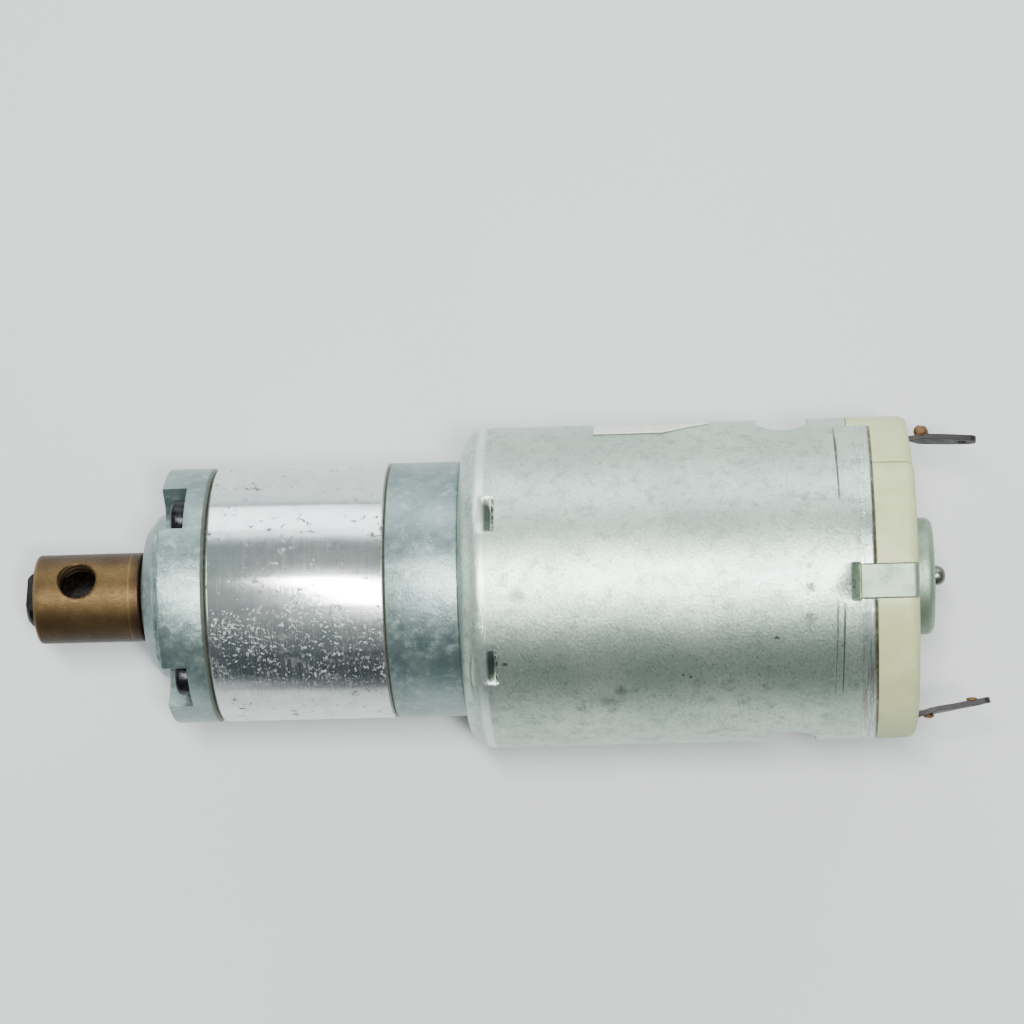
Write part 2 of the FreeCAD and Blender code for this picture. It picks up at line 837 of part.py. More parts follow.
def motor_label():
    """A blank paper patch on the can, with one corner torn off on a slant."""
    paper_inner = can_r + 0.01
    paper_outer = paper_inner + label_thickness
    patch = sector(label_front, label_back, paper_inner, paper_outer, label_far_clock, label_near_clock)
    tear_start = polar(can_r, label_near_clock, tear_front)
    tear_end = polar(can_r, tear_back_clock, label_back)
    along = Vector(tear_end.x - tear_start.x, 0, tear_end.z - tear_start.z).normalize()
    tear = Part.makeBox(60, 60, 60, Vector(0, 0, 0))
    tear.rotate(ORIGIN, Vector(0, 1, 0), math.degrees(math.atan2(-along.z, along.x)))
    tear.translate(Vector(tear_start.x, 0, tear_start.z))
    return patch.cut(tear)


# ---------------------------------------------------------------- export

upper_bend = blade_turn(1, 2.6, -12)
upper_tip = 90.0
lower_bend = blade_turn(-1, 9.5, -8)
lower_tip = 90.9

parts = {
    "front_housing": front_housing(),
    "output_bush_front": output_bush(nose_front + 0.2, nose_front + 4.2),
    "output_bush_rear": output_bush(2.6, spigot_back),
    "output_thrust_washer": tube(spigot_back, spigot_back + washer_thickness, output_r + 0.1, carrier_r),
    "ring_gear": ring_gear(),
    "rear_adaptor": rear_adaptor(),
    "input_washer": tube(adaptor_front - washer_thickness, adaptor_front, 4.6, carrier_r),
    "gearbox_screws": gearbox_screws(),
    "motor_mount_screws": motor_mount_screws(),
    "output_shaft": output_shaft(),
    "output_carrier": carrier(output_carrier_front, output_carrier_back, output_seat_r),
    "stage_2_pins": pins(output_carrier_front, stage_2_gear_back + 0.1),
    "output_coupling": output_coupling(),
    "stage_1_carrier": carrier(stage_1_carrier_front, stage_1_carrier_back, sun_seat_r),
    "stage_1_pins": pins(stage_1_carrier_front, stage_1_gear_back + 0.1),
    "stage_2_sun": stage_2_sun(),
    "motor_pinion": motor_pinion(),
    "motor_shaft": motor_shaft(),
    "armature_core": lamination_stack(core_front, core_back, 0),
    "insulator_front": lamination_stack(core_front - insulator_thickness, core_front, 0.15),
    "insulator_rear": lamination_stack(core_back, core_back + insulator_thickness, 0.15),
    "armature_coils": armature_coils(),
    "commutator_hub": commutator_hub(),
    "commutator_segments": commutator_segments(),
    "rotor_spacers": rotor_spacers(),
    "motor_can": motor_can(),
    "magnet_upper": magnet(-90),
    "magnet_lower": magnet(90),
    "magnet_clips": magnet_clips(),
    "motor_front_bush": motor_bush(front_bush_front, front_bush_back),
    "motor_rear_bush": motor_bush(rear_bush_front, rear_bush_back),
    "end_cap": end_cap(),
    "end_plate": end_plate(),
    "brush_upper": brush(-90),
    "brush_lower": brush(90),
    "brush_arm_upper": brush_arm(-90),
    "brush_arm_lower": brush_arm(90),
    "terminal_upper": terminal(1, upper_bend, upper_tip),
    "terminal_lower": terminal(-1, lower_bend, lower_tip),
    "terminal_solder": group([
        solder_blob(upper_bend, terminal_bend + 1.2, 1, 0.7, 0.95),
        solder_blob(lower_bend, terminal_bend + 1.3, -1, 0.6, 0.6),
        solder_blob(lower_bend, terminal_bend + 6.2, 1, 0.9, 0.5),
    ]),
    "motor_label": motor_label(),
}
for index, clock in enumerate(planet_clocks(), start=1):
    parts[f"stage_1_planet_{index}"] = planet(stage_1_gear_front, stage_1_gear_back, clock)
    parts[f"stage_2_planet_{index}"] = planet(stage_2_gear_front, stage_2_gear_back, clock)

os.makedirs("parts", exist_ok=True)
for name, shape in parts.items():
    shape.exportStep(f"parts/{name}.step")
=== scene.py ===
import bmesh
import bpy
import json
import math
from mathutils import Matrix, Vector, noise


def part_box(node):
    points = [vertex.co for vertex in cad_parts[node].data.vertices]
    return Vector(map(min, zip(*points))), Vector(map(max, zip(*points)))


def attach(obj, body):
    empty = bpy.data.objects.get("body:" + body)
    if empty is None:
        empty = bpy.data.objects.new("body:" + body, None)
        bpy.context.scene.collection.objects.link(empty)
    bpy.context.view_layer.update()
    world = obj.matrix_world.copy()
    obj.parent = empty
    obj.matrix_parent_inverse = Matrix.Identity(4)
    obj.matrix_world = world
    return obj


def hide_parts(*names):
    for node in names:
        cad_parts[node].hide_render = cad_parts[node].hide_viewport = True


# A brushed DC motor with a planetary gearbox and a bronze coupling, lying on its side.
# X runs along the shafts with the output end at -X, and +Z is up.
# A clock angle is measured about +X from straight up, so -90 degrees points to +Y.
# Blender's objects are in metres. The motor's sizes are written in millimetres, times MM where used.

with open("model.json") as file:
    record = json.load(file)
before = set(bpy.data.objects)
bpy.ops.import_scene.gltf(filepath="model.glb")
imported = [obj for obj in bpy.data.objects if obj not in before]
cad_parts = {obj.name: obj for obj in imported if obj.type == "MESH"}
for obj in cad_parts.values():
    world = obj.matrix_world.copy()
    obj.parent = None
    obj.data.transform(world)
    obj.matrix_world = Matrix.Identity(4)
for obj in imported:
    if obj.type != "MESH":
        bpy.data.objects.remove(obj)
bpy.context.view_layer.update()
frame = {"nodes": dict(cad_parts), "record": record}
nodes = frame["nodes"]
MM = 0.001

# Places of the can and the hub, in millimetres
CAN_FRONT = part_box("rear_adaptor")[1].x / MM
CAN_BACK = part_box("motor_can")[1].x / MM
CAN_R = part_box("motor_can")[1].z / MM
HUB_FRONT, HUB_BACK = (corner.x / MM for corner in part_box("output_coupling"))
STOP_CLOCKS = (27.7, -27.7, 152.3, -152.3)

# Scribed lines on the can: place along X at clock 0, slant per degree, first and last clock angle,
# half width, darkness
SCRIBES = (
    (CAN_BACK - 3.50, 0.0064, -68, -30, 0.05, 0.85),
    (CAN_BACK - 3.46, 0.0064, -60, -47, 0.13, 0.55),
    (CAN_BACK - 4.10, -0.0131, 8, 41, 0.04, 0.55),
    (CAN_BACK - 3.39, -0.0111, 9, 42, 0.05, 0.75),
)
# Stains on the can: place along X, clock angle, half length, half width in degrees, darkness
STAINS = (
    (CAN_BACK - 3.5, 1.0, 1.3, 5.0, 0.80),
    (CAN_BACK - 7.1, 1.6, 0.80, 2.6, 0.85),
    (CAN_BACK - 7.2, -5.7, 0.45, 1.5, 0.55),
    (CAN_BACK - 7.2, 11.8, 0.9, 3.0, 0.60),
    (CAN_BACK - 10.9, 19.0, 0.50, 0.85, 0.85),
    (CAN_BACK - 20.9, 32.4, 0.24, 0.8, 0.95),
    (CAN_BACK - 20.1, 33.4, 0.22, 0.7, 0.90),
    (CAN_BACK - 27.7, 39.0, 0.9, 3.2, 0.55),
    (CAN_BACK - 29.0, 43.5, 1.6, 4.0, 0.45),
    (CAN_FRONT + 6.5, 1.0, 1.5, 4.0, 0.45),
    (CAN_FRONT + 21.8, -48.3, 0.18, 0.6, 0.90),
    (CAN_FRONT + 15.6, -48.7, 0.15, 0.5, 0.70),
    (CAN_FRONT + 16.6, -9.2, 0.18, 0.6, 0.75),
    (CAN_FRONT + 4.9, 26.5, 0.5, 1.0, 0.80),
)


# ---------------------------------------------------------------- camera and light

def look_from(eye, target, roll_degrees):
    """A camera-style matrix at eye that faces target."""
    forward = (target - eye).normalized()
    level = Vector((-forward.z, 0, forward.x))
    roll = math.radians(roll_degrees)
    right = (level * math.cos(roll) - Vector((0, math.sin(roll), 0))).normalized()
    up = right.cross(forward)
    matrix = Matrix((right, up, -forward)).transposed().to_4x4()
    matrix.translation = eye
    return matrix


def aim(light, place, target):
    light.location = place
    light.rotation_euler = (target - place).to_track_quat("-Z", "Y").to_euler()


def softbox(name, place, target, size, power, colour):
    data = bpy.data.lights.new(name, "AREA")
    data.shape = "RECTANGLE"
    data.size, data.size_y = size
    data.energy = power
    data.color = colour
    light = bpy.data.objects.new(name, data)
    light.visible_camera = False
    bpy.context.collection.objects.link(light)
    aim(light, Vector(place), Vector(target))


# Places of the camera, the lights and the floor are in metres
LENS = 121.4
CAMERA_AT = Vector((0.0616, 0.0084, 0.386))
TARGET = Vector((0.03817, 0.0084, 0))
ROLL = 1.63
MIDDLE = (0.035, 0, 0)

camera_data = bpy.data.cameras.new("camera")
camera_data.lens = LENS
camera_data.sensor_width = 36
camera_data.clip_start = 0.01
camera_data.clip_end = 20
camera = bpy.data.objects.new("camera", camera_data)
camera.matrix_world = look_from(CAMERA_AT, TARGET, ROLL)
bpy.context.collection.objects.link(camera)
bpy.context.scene.camera = camera

softbox("overhead", (0.085, 0.045, 0.62), MIDDLE, (0.28, 0.05), 7.4, (1.0, 1.0, 0.96))
softbox("window", (0.02, 0.87, 0.31), MIDDLE, (1.3, 0.46), 7.6, (0.93, 0.98, 1.0))
softbox("side", (-0.8, 0.10, 0.22), MIDDLE, (0.5, 0.35), 1.6, (0.94, 1.0, 0.98))

# The sky is bright above and behind the motor (+Y), and dim on the near side
SKY_UP = (0.0, 0.65, 0.62)
SKY_DIM_AT, SKY_BRIGHT_AT = -0.45, 0.75
SKY_DIM = (0.060, 0.072, 0.085, 1)
SKY_BRIGHT = (0.34, 0.39, 0.385, 1)

world = bpy.data.worlds.new("studio")
bpy.context.scene.world = world
world.use_nodes = True
sky = world.node_tree
direction = sky.nodes.new("ShaderNodeTexCoord")
slope = sky.nodes.new("ShaderNodeVectorMath")
slope.operation = "DOT_PRODUCT"
slope.inputs[1].default_value = SKY_UP
fade = sky.nodes.new("ShaderNodeMapRange")
fade.interpolation_type = "SMOOTHSTEP"
fade.inputs["From Min"].default_value = SKY_DIM_AT
fade.inputs["From Max"].default_value = SKY_BRIGHT_AT
tint = sky.nodes.new("ShaderNodeMix")
tint.data_type = "RGBA"
tint.inputs[6].default_value = SKY_DIM
tint.inputs[7].default_value = SKY_BRIGHT
sky.links.new(direction.outputs["Generated"], slope.inputs[0])
sky.links.new(slope.outputs["Value"], fade.inputs["Value"])
sky.links.new(fade.outputs[0], tint.inputs[0])
sky.links.new(tint.outputs[2], sky.nodes["Background"].inputs["Color"])


# ---------------------------------------------------------------- material building

class Finish:
    """One procedural material. Lengths in its nodes are in millimetres of the row frame."""

    def __init__(self, name, metallic):
        self.material = bpy.data.materials.new(name)
        self.material.use_nodes = True
        self.tree = self.material.node_tree
        self.shader = self.tree.nodes["Principled BSDF"]
        self.shader.inputs["Metallic"].default_value = metallic
        place = self.add("ShaderNodeTexCoord").outputs["Object"]
        self.place = self.scaled(place, 1 / MM)
        split = self.add("ShaderNodeSeparateXYZ")
        self.feed(split.inputs[0], self.place)
        self.x, self.y, self.z = split.outputs
        self.height = None

    def add(self, kind, **settings):
        """A new node of the material, with its settings."""
        node = self.tree.nodes.new(kind)
        for key, value in settings.items():
            setattr(node, key, value)
        return node

    def feed(self, socket, value):
        """Links another node's output to socket, or sets its plain value."""
        if isinstance(value, bpy.types.NodeSocket):
            self.tree.links.new(value, socket)
        else:
            socket.default_value = value

    def math(self, operation, *values):
        node = self.add("ShaderNodeMath", operation=operation)
        for socket, value in zip(node.inputs, values):
            self.feed(socket, value)
        return node.outputs[0]

    def scaled(self, place, scale):
        node = self.add("ShaderNodeVectorMath", operation="SCALE")
        self.feed(node.inputs[0], place)
        node.inputs["Scale"].default_value = scale
        return node.outputs[0]

    def combine(self, x, y):
        node = self.add("ShaderNodeCombineXYZ")
        for socket, value in zip(node.inputs, (x, y)):
            self.feed(socket, value)
        return node.outputs[0]

    def root_of_squares(self, first, second):
        squares = [self.math("MULTIPLY", value, value) for value in (first, second)]
        return self.math("SQRT", self.math("ADD", *squares))

    def clock(self):
        """The clock angle in degrees of the point about the X axis."""
        turn = self.math("ARCTAN2", self.math("MULTIPLY", self.y, -1.0), self.z)
        return self.math("MULTIPLY", turn, 180 / math.pi)

    def noise(self, scale, detail=3.0, roughness=0.55, distortion=0.0, at=None):
        node = self.add("ShaderNodeTexNoise")
        self.feed(node.inputs["Vector"], self.place if at is None else at)
        node.inputs["Scale"].default_value = scale
        node.inputs["Detail"].default_value = detail
        node.inputs["Roughness"].default_value = roughness
        node.inputs["Distortion"].default_value = distortion
        return node.outputs["Fac"]

    def between(self, value, low, high, start=0.0, end=1.0):
        """Maps value from low..high to start..end, with smooth ends."""
        node = self.add("ShaderNodeMapRange", interpolation_type="SMOOTHSTEP")
        for socket, given in zip(node.inputs, (value, low, high, start, end)):
            self.feed(socket, given)
        return node.outputs[0]

    def band(self, value, low, high, soft):
        """1 between low and high, 0 outside, with soft edges."""
        rise = self.between(value, low - soft, low + soft)
        fall = self.between(value, high - soft, high + soft, 1.0, 0.0)
        return self.math("MULTIPLY", rise, fall)

    def mix(self, factor, first, second):
        node = self.add("ShaderNodeMix", data_type="RGBA")
        self.feed(node.inputs[0], factor)
        for socket, value in ((node.inputs[6], first), (node.inputs[7], second)):
            self.feed(socket, value if isinstance(value, bpy.types.NodeSocket) else rgb(value))
        return node.outputs[2]

    def raise_by(self, amount, height):
        """Adds height, in millimetres times amount, to the material's relief."""
        step = self.math("MULTIPLY", height, amount)
        self.height = step if self.height is None else self.math("ADD", self.height, step)

    def done(self, colour, roughness):
        self.feed(self.shader.inputs["Base Color"], colour)
        self.feed(self.shader.inputs["Roughness"], roughness)
        if self.height is not None:
            bump = self.add("ShaderNodeBump")
            bump.inputs["Distance"].default_value = MM
            self.feed(bump.inputs["Height"], self.height)
            self.feed(self.shader.inputs["Normal"], bump.outputs["Normal"])
        return self.material


def rgb(colour):
    """A linear colour from sRGB bytes."""
    channels = [value / 255 for value in colour]
    linear = [c / 12.92 if c <= 0.04045 else ((c + 0.055) / 1.055) ** 2.4 for c in channels]
    return (*linear, 1.0)


# First and last place along X of the barrel's two joints, in millimetres
FRONT_JOINT = (4.86, 5.5)
BACK_JOINT = (24.60, 25.08)


def grooved(f, colour, rough):
    """Old grease in the two joints of the gearbox's barrel."""
    front = f.band(f.x, *FRONT_JOINT, 0.12)
    back = f.band(f.x, *BACK_JOINT, 0.08)
    dirt = f.math("MULTIPLY", f.math("MAXIMUM", front, back),
                  f.between(f.noise(1.2), 0.2, 0.5, 0.55, 0.85))
    colour = f.mix(dirt, colour, (104, 108, 96))
    return colour, f.math("ADD", rough, f.math("MULTIPLY", dirt, 0.25))


def cast_zinc():
    """The gearbox's two castings: clouded, coarse-grained grey zinc with a few bright specks."""
    f = Finish("cast_zinc", 0.82)
    cloud = f.noise(0.22, 4, 0.6, 0.3)
    blotch = f.noise(0.8, 5, 0.7, 0.2)
    grain = f.noise(4.5, 5, 0.75)
    colour = f.mix(f.between(cloud, 0.35, 0.65), (112, 132, 132), (134, 153, 151))
    colour = f.mix(f.between(blotch, 0.50, 0.70, 0.0, 0.7), colour, (170, 188, 184))
    colour = f.mix(f.between(blotch, 0.28, 0.48, 0.45, 0.0), colour, (92, 112, 110))
    colour = f.mix(f.between(grain, 0.52, 0.72, 0.0, 0.6), colour, (104, 122, 122))
    specks = f.between(f.noise(5.5, 2, 0.5), 0.68, 0.73)
    colour = f.mix(f.math("MULTIPLY", specks, 0.6), colour, (216, 232, 228))
    f.raise_by(0.030, grain)
    f.raise_by(0.04, blotch)
    return f.done(*grooved(f, colour, f.between(blotch, 0.3, 0.7, 0.30, 0.42)))


def plated_barrel():
    """The gearbox's barrel: turned and plated steel, pitted, peppered on its lower half, and with
    painted shade on its lower side.
    """
    f = Finish("plated_barrel", 1.0)
    clock = f.clock()
    along = f.combine(f.math("MULTIPLY", f.x, 9.0), f.math("MULTIPLY", clock, 0.012))
    turning = f.noise(1.0, 5, 0.75, at=along)
    blotch = f.noise(0.5, 4, 0.6)
    fine = f.noise(3.6, 4, 0.7)
    colour = f.mix(f.between(blotch, 0.3, 0.7), (204, 216, 215), (224, 231, 228))
    sheen = f.between(f.noise(0.16, 2, 0.5), 0.4, 0.65)
    colour = f.mix(f.math("MULTIPLY", sheen, 0.30), colour, (222, 208, 214))
    colour = f.mix(f.between(fine, 0.5, 0.8, 0.0, 0.4), colour, (176, 186, 182))
    # corroded pits in ragged clusters
    rust = f.math("MULTIPLY_ADD", f.noise(0.35, 2, 0.5), 0.35, f.noise(1.5, 5, 0.72))
    pits = f.between(rust, 0.80, 0.83)
    colour = f.mix(f.math("MULTIPLY", pits, 0.85), colour, (98, 102, 104))
    # the lower half is peppered with small bare specks, thickest round its middle
    low_side = f.band(clock, 8, 42, 6)
    thick = f.math("MULTIPLY", low_side, f.between(f.noise(0.3, 3, 0.6), 0.3, 0.7, -0.03, 0.05))
    spray = f.math("ADD", f.noise(2.7, 4, 0.68, 0.4), thick)
    specks = f.math("MULTIPLY", f.between(spray, 0.605, 0.645), low_side)
    scratch_at = f.combine(f.math("MULTIPLY_ADD", clock, 0.22, f.math("MULTIPLY", f.x, 0.7)),
                           f.math("MULTIPLY_ADD", clock, 1.1, f.math("MULTIPLY", f.x, -2.6)))
    scratches = f.between(f.noise(1.0, 2, 0.5, at=scratch_at), 0.66, 0.70)
    specks = f.math("MAXIMUM", specks, f.math("MULTIPLY", scratches, f.band(clock, 6, 24, 4)))
    # painted shade: the lower side, clock 10 to 60, is darkened to mauve and also made a little
    # rougher
    low_side_shade_and_dull = f.math("MULTIPLY", f.band(clock, 10, 60, 7),
                  f.between(f.noise(0.35, 4, 0.6), 0.25, 0.6, 0.35, 0.8))
    colour = f.mix(f.math("MULTIPLY", low_side_shade_and_dull, 0.35), colour, (140, 128, 134))
    colour = f.mix(f.math("MULTIPLY", specks, 0.9), colour, (222, 228, 222))
    f.raise_by(0.010, turning)
    f.raise_by(-0.04, pits)
    f.raise_by(-0.02, specks)
    rough = f.math("ADD", f.between(turning, 0.2, 0.8, 0.13, 0.24), f.math("MULTIPLY", pits, 0.3))
    rough = f.math("ADD", rough, f.math("MULTIPLY", specks, 0.35))
    return f.done(*grooved(f, colour, f.math("MULTIPLY_ADD", low_side_shade_and_dull, 0.10, rough)))


def sheet_base(f):
    """Zinc-plated sheet steel: clouded, finely grained, with a few small pits."""
    cloud = f.noise(0.10, 4, 0.6, 0.3)
    blotch = f.noise(0.6, 6, 0.75)
    grain = f.noise(3.2, 5, 0.78)
    colour = f.mix(f.between(cloud, 0.35, 0.65), (172, 190, 180), (192, 208, 196))
    colour = f.mix(f.between(blotch, 0.48, 0.68, 0.0, 0.65), colour, (132, 147, 138))
    colour = f.mix(f.between(grain, 0.50, 0.72, 0.0, 0.80), colour, (112, 125, 117))
    colour = f.mix(f.between(grain, 0.30, 0.44, 0.45, 0.0), colour, (216, 230, 216))
    dots = f.between(f.noise(2.2, 3, 0.6), 0.71, 0.75)
    colour = f.mix(f.math("MULTIPLY", dots, 0.7), colour, (84, 92, 88))
    f.raise_by(0.042, grain)
    f.raise_by(0.050, blotch)
    return colour, f.between(blotch, 0.3, 0.75, 0.28, 0.38)


def plated_sheet():
    """The end plate's sheet: the same steel, greener and duller."""
    f = Finish("plated_sheet", 0.85)
    colour, rough = sheet_base(f)
    return f.done(f.mix(0.70, colour, (116, 136, 112)), f.math("ADD", rough, 0.16))


def can_sheet():
    """The can's sheet, with its scribed lines, stains, scuffs and burnished rear band, and painted
    shade and highlights at its stops, shoulder and rear band.
    """
    f = Finish("can_sheet", 0.88)
    colour, rough = sheet_base(f)
    clock = f.clock()
    # short fine strokes where the near side was rubbed
    scuff_at = f.combine(f.math("MULTIPLY_ADD", clock, 0.32, f.math("MULTIPLY", f.x, 0.6)),
                         f.math("MULTIPLY_ADD", clock, 0.75, f.math("MULTIPLY", f.x, -5.0)))
    patches = f.math("MULTIPLY", f.band(clock, 4, 62, 12),
                     f.between(f.noise(0.3, 3, 0.6), 0.3, 0.6))
    scuffs = f.math("MULTIPLY", f.between(f.noise(1.0, 4, 0.7, at=scuff_at), 0.48, 0.66), patches)
    colour = f.mix(f.math("MULTIPLY", scuffs, 0.6), colour, (100, 112, 104))
    f.raise_by(-0.008, scuffs)
    for line_x, slant, start, end, half, depth in SCRIBES:
        centre = f.math("MULTIPLY_ADD", clock, slant, line_x)
        gap = f.math("ABSOLUTE", f.math("SUBTRACT", f.x, centre))
        line = f.between(gap, half, half + 0.07, 1.0, 0.0)
        line = f.math("MULTIPLY", line, f.band(clock, start, end, 2.5))
        line = f.math("MULTIPLY", line, f.between(f.noise(0.9, 2, 0.5), 0.3, 0.5, 0.5, 1.0))
        colour = f.mix(f.math("MULTIPLY", line, depth), colour, (58, 66, 64))
        f.raise_by(-0.05, line)
    scratch = f.math("MULTIPLY", f.band(clock, -55.2, -54.9, 0.12),
                     f.band(f.x, CAN_BACK - 17, CAN_BACK - 8, 0.8))
    scratch = f.math("MULTIPLY", scratch, f.between(f.noise(1.5, 3, 0.6), 0.4, 0.55))
    colour = f.mix(f.math("MULTIPLY", scratch, 0.6), colour, (90, 100, 96))
    ragged = f.math("MULTIPLY_ADD", f.noise(2.4, 6, 0.8), 3.6, -1.8)
    for stain_x, stain_clock, long, wide, depth in STAINS:
        off_x = f.math("DIVIDE", f.math("SUBTRACT", f.x, stain_x), long)
        off_s = f.math("DIVIDE", f.math("SUBTRACT", clock, stain_clock), wide)
        spread = f.root_of_squares(off_x, off_s)
        stain = f.between(f.math("ADD", spread, ragged), 0.2, 1.0, depth, 0.0)
        stain = f.math("MULTIPLY", stain, f.between(spread, 1.0, 2.2, 1.0, 0.0))
        colour = f.mix(stain, colour, (70, 70, 58))
    # painted shade down the ramps of the pressed stops
    for stop_clock in STOP_CLOCKS:
        side = f.band(clock, stop_clock - 6.6, stop_clock + 6.4, 0.8)
        ramp = f.math("MULTIPLY", f.between(f.x, CAN_FRONT + 2.2, CAN_FRONT + 3.2),
                      f.between(f.x, CAN_FRONT + 3.66, CAN_FRONT + 3.80, 1.0, 0.0))
        # grime here is a mask of painted shade in the recess
        grime = f.math("MULTIPLY", side, ramp)
        colour = f.mix(f.math("MULTIPLY", grime, 0.85), colour, (42, 50, 43))
        # painted shadow along each stop's cut lip
        lip = f.math("MULTIPLY", f.band(clock, stop_clock - 6.0, stop_clock + 6.0, 0.8),
                     f.band(f.x, CAN_FRONT + 3.80, CAN_FRONT + 4.08, 0.04))
        lip_glint_specks = f.between(f.noise(2.6, 3, 0.6), 0.44, 0.54)
        colour = f.mix(f.math("MULTIPLY", lip, 0.9), colour, (48, 52, 46))
        # painted highlight: bright glints speckled over the lip, which is also made less rough
        lip = f.math("MULTIPLY", lip, lip_glint_specks)
        colour = f.mix(f.math("MULTIPLY", lip, 0.9), colour, (236, 240, 230))
        rough = f.math("SUBTRACT", rough, f.math("MULTIPLY", lip, 0.16))
    # painted highlight: a lighter band round the front shoulder, which is also made less rough
    shoulder_highlight_and_burnish = f.band(f.x, CAN_FRONT + 2.0, CAN_FRONT + 2.9, 0.25)
    colour = f.mix(f.math("MULTIPLY", shoulder_highlight_and_burnish, 0.75), colour, (226, 238, 232))
    rough = f.math("SUBTRACT", rough, f.math("MULTIPLY", shoulder_highlight_and_burnish, 0.10))
    burnish = f.between(f.x, CAN_BACK - 2.2, CAN_BACK - 1.3)
    streak_at = f.combine(f.math("MULTIPLY", f.x, 5.0), f.math("MULTIPLY", clock, 0.05))
    streak = f.noise(1.0, 3, 0.7, at=streak_at)
    brown = f.math("MULTIPLY", burnish, f.between(clock, 8, 34, 0.15, 0.75))
    brown = f.math("MULTIPLY", brown, f.between(streak, 0.42, 0.60))
    colour = f.mix(brown, colour, (150, 138, 138))
    # painted highlight: bright streaks across the burnished rear band
    bright = f.math("MULTIPLY", burnish, f.between(streak, 0.50, 0.36, 0.0, 0.6))
    colour = f.mix(bright, colour, (216, 228, 224))
    rim = f.band(f.x, CAN_BACK - 0.30, CAN_BACK + 1, 0.06)
    rim = f.math("MULTIPLY", rim, f.between(f.noise(1.4), 0.3, 0.6, 0.3, 0.9))
    colour = f.mix(rim, colour, (96, 82, 70))
    rough = f.math("SUBTRACT", rough, f.math("MULTIPLY", burnish, 0.08))
    return f.done(colour, rough)


def bronze():
    """The coupling: turned bronze, with painted shade on its sides and in its hole."""
    f = Finish("bronze", 0.92)
    clock = f.clock()
    around = f.combine(f.math("MULTIPLY", f.x, 0.7), f.math("MULTIPLY", clock, 0.12))
    grain = f.noise(2.6, 5, 0.75, at=around)
    fine = f.noise(5.0, 3, 0.7)
    cloud = f.noise(0.30, 3, 0.6)
    colour = f.mix(f.between(cloud, 0.3, 0.7), (94, 75, 48), (116, 94, 60))
    colour = f.mix(f.between(grain, 0.48, 0.72, 0, 0.7), colour, (76, 57, 41))
    colour = f.mix(f.between(fine, 0.55, 0.75, 0, 0.5), colour, (138, 115, 76))
    # painted shade on the two sides, a darker band towards the back end, and a bare line along each
    # end
    side = f.between(f.math("ABSOLUTE", f.math("ADD", clock, 6.0)), 34, 74)
    colour = f.mix(f.math("MULTIPLY", side, 0.85), colour, (62, 46, 42))
    colour = f.mix(f.between(f.x, HUB_BACK - 1.2, HUB_BACK - 0.3, 0.0, 0.75), colour, (66, 48, 40))
    ends = f.math("MAXIMUM", f.band(f.x, HUB_FRONT + 0.12, HUB_FRONT + 0.34, 0.08),
                  f.band(f.x, HUB_BACK - 1.30, HUB_BACK - 1.20, 0.10))
    colour = f.mix(f.math("MULTIPLY", ends, 0.30), colour, (190, 156, 104))
    # painted shade, deepest in the hole and the bore, over a slight darkening of the whole hub
    from_axis = f.root_of_squares(f.y, f.z)
    colour = f.mix(f.between(from_axis, 3.4, 4.9, 0.85, 0.25), colour, (44, 34, 28))
    f.raise_by(0.02, grain)
    f.raise_by(0.01, fine)
    return f.done(colour, f.between(grain, 0.3, 0.7, 0.44, 0.54))


def steel(name, dark, light, low, high):
    """Bare machined steel between two colours and two roughness values."""
    f = Finish(name, 1.0)
    grain = f.noise(3.0, 4, 0.6)
    fine = f.noise(14.0, 2, 0.6)
    colour = f.mix(f.between(grain, 0.3, 0.7), dark, light)
    f.raise_by(0.006, fine)
    return f.done(colour, f.between(grain, 0.3, 0.7, low, high))


def plain(name, dark, light, low, high, scale=1.5, relief=0.02, metallic=0.0):
    """A clouded, finely grained material between two colours and two roughness values."""
    f = Finish(name, metallic)
    cloud = f.noise(scale, 4, 0.6)
    grain = f.noise(scale * 6, 3, 0.6)
    colour = f.mix(f.between(cloud, 0.3, 0.7), dark, light)
    f.raise_by(relief, grain)
    return f.done(colour, f.between(cloud, 0.3, 0.7, low, high))


def nylon():
    """The end cap: yellowed nylon, grimy towards the end plate and along its seam."""
    f = Finish("nylon", 0.0)
    f.shader.inputs["Subsurface Weight"].default_value = 0.08
    f.shader.inputs["Subsurface Scale"].default_value = 1.0 * MM
    cloud = f.noise(0.25, 4, 0.6)
    grime = f.noise(1.1, 5, 0.7)
    colour = f.mix(f.between(cloud, 0.3, 0.7), (178, 186, 134), (194, 201, 152))
    colour = f.mix(f.between(grime, 0.55, 0.78, 0, 0.5), colour, (158, 152, 112))
    edge = f.between(f.x, CAN_BACK + 3.4, CAN_BACK + 4.5)
    dirty = f.between(f.noise(0.8, 4, 0.7), 0.35, 0.65, 0.0, 0.4)
    colour = f.mix(f.math("MULTIPLY", edge, dirty), colour, (150, 146, 110))
    joint = f.band(f.clock(), -45.4, -44.8, 0.3)
    colour = f.mix(f.math("MULTIPLY", joint, 0.75), colour, (104, 100, 70))
    f.raise_by(0.02, f.noise(6.0, 2, 0.5))
    return f.done(colour, f.between(cloud, 0.3, 0.7, 0.42, 0.55))


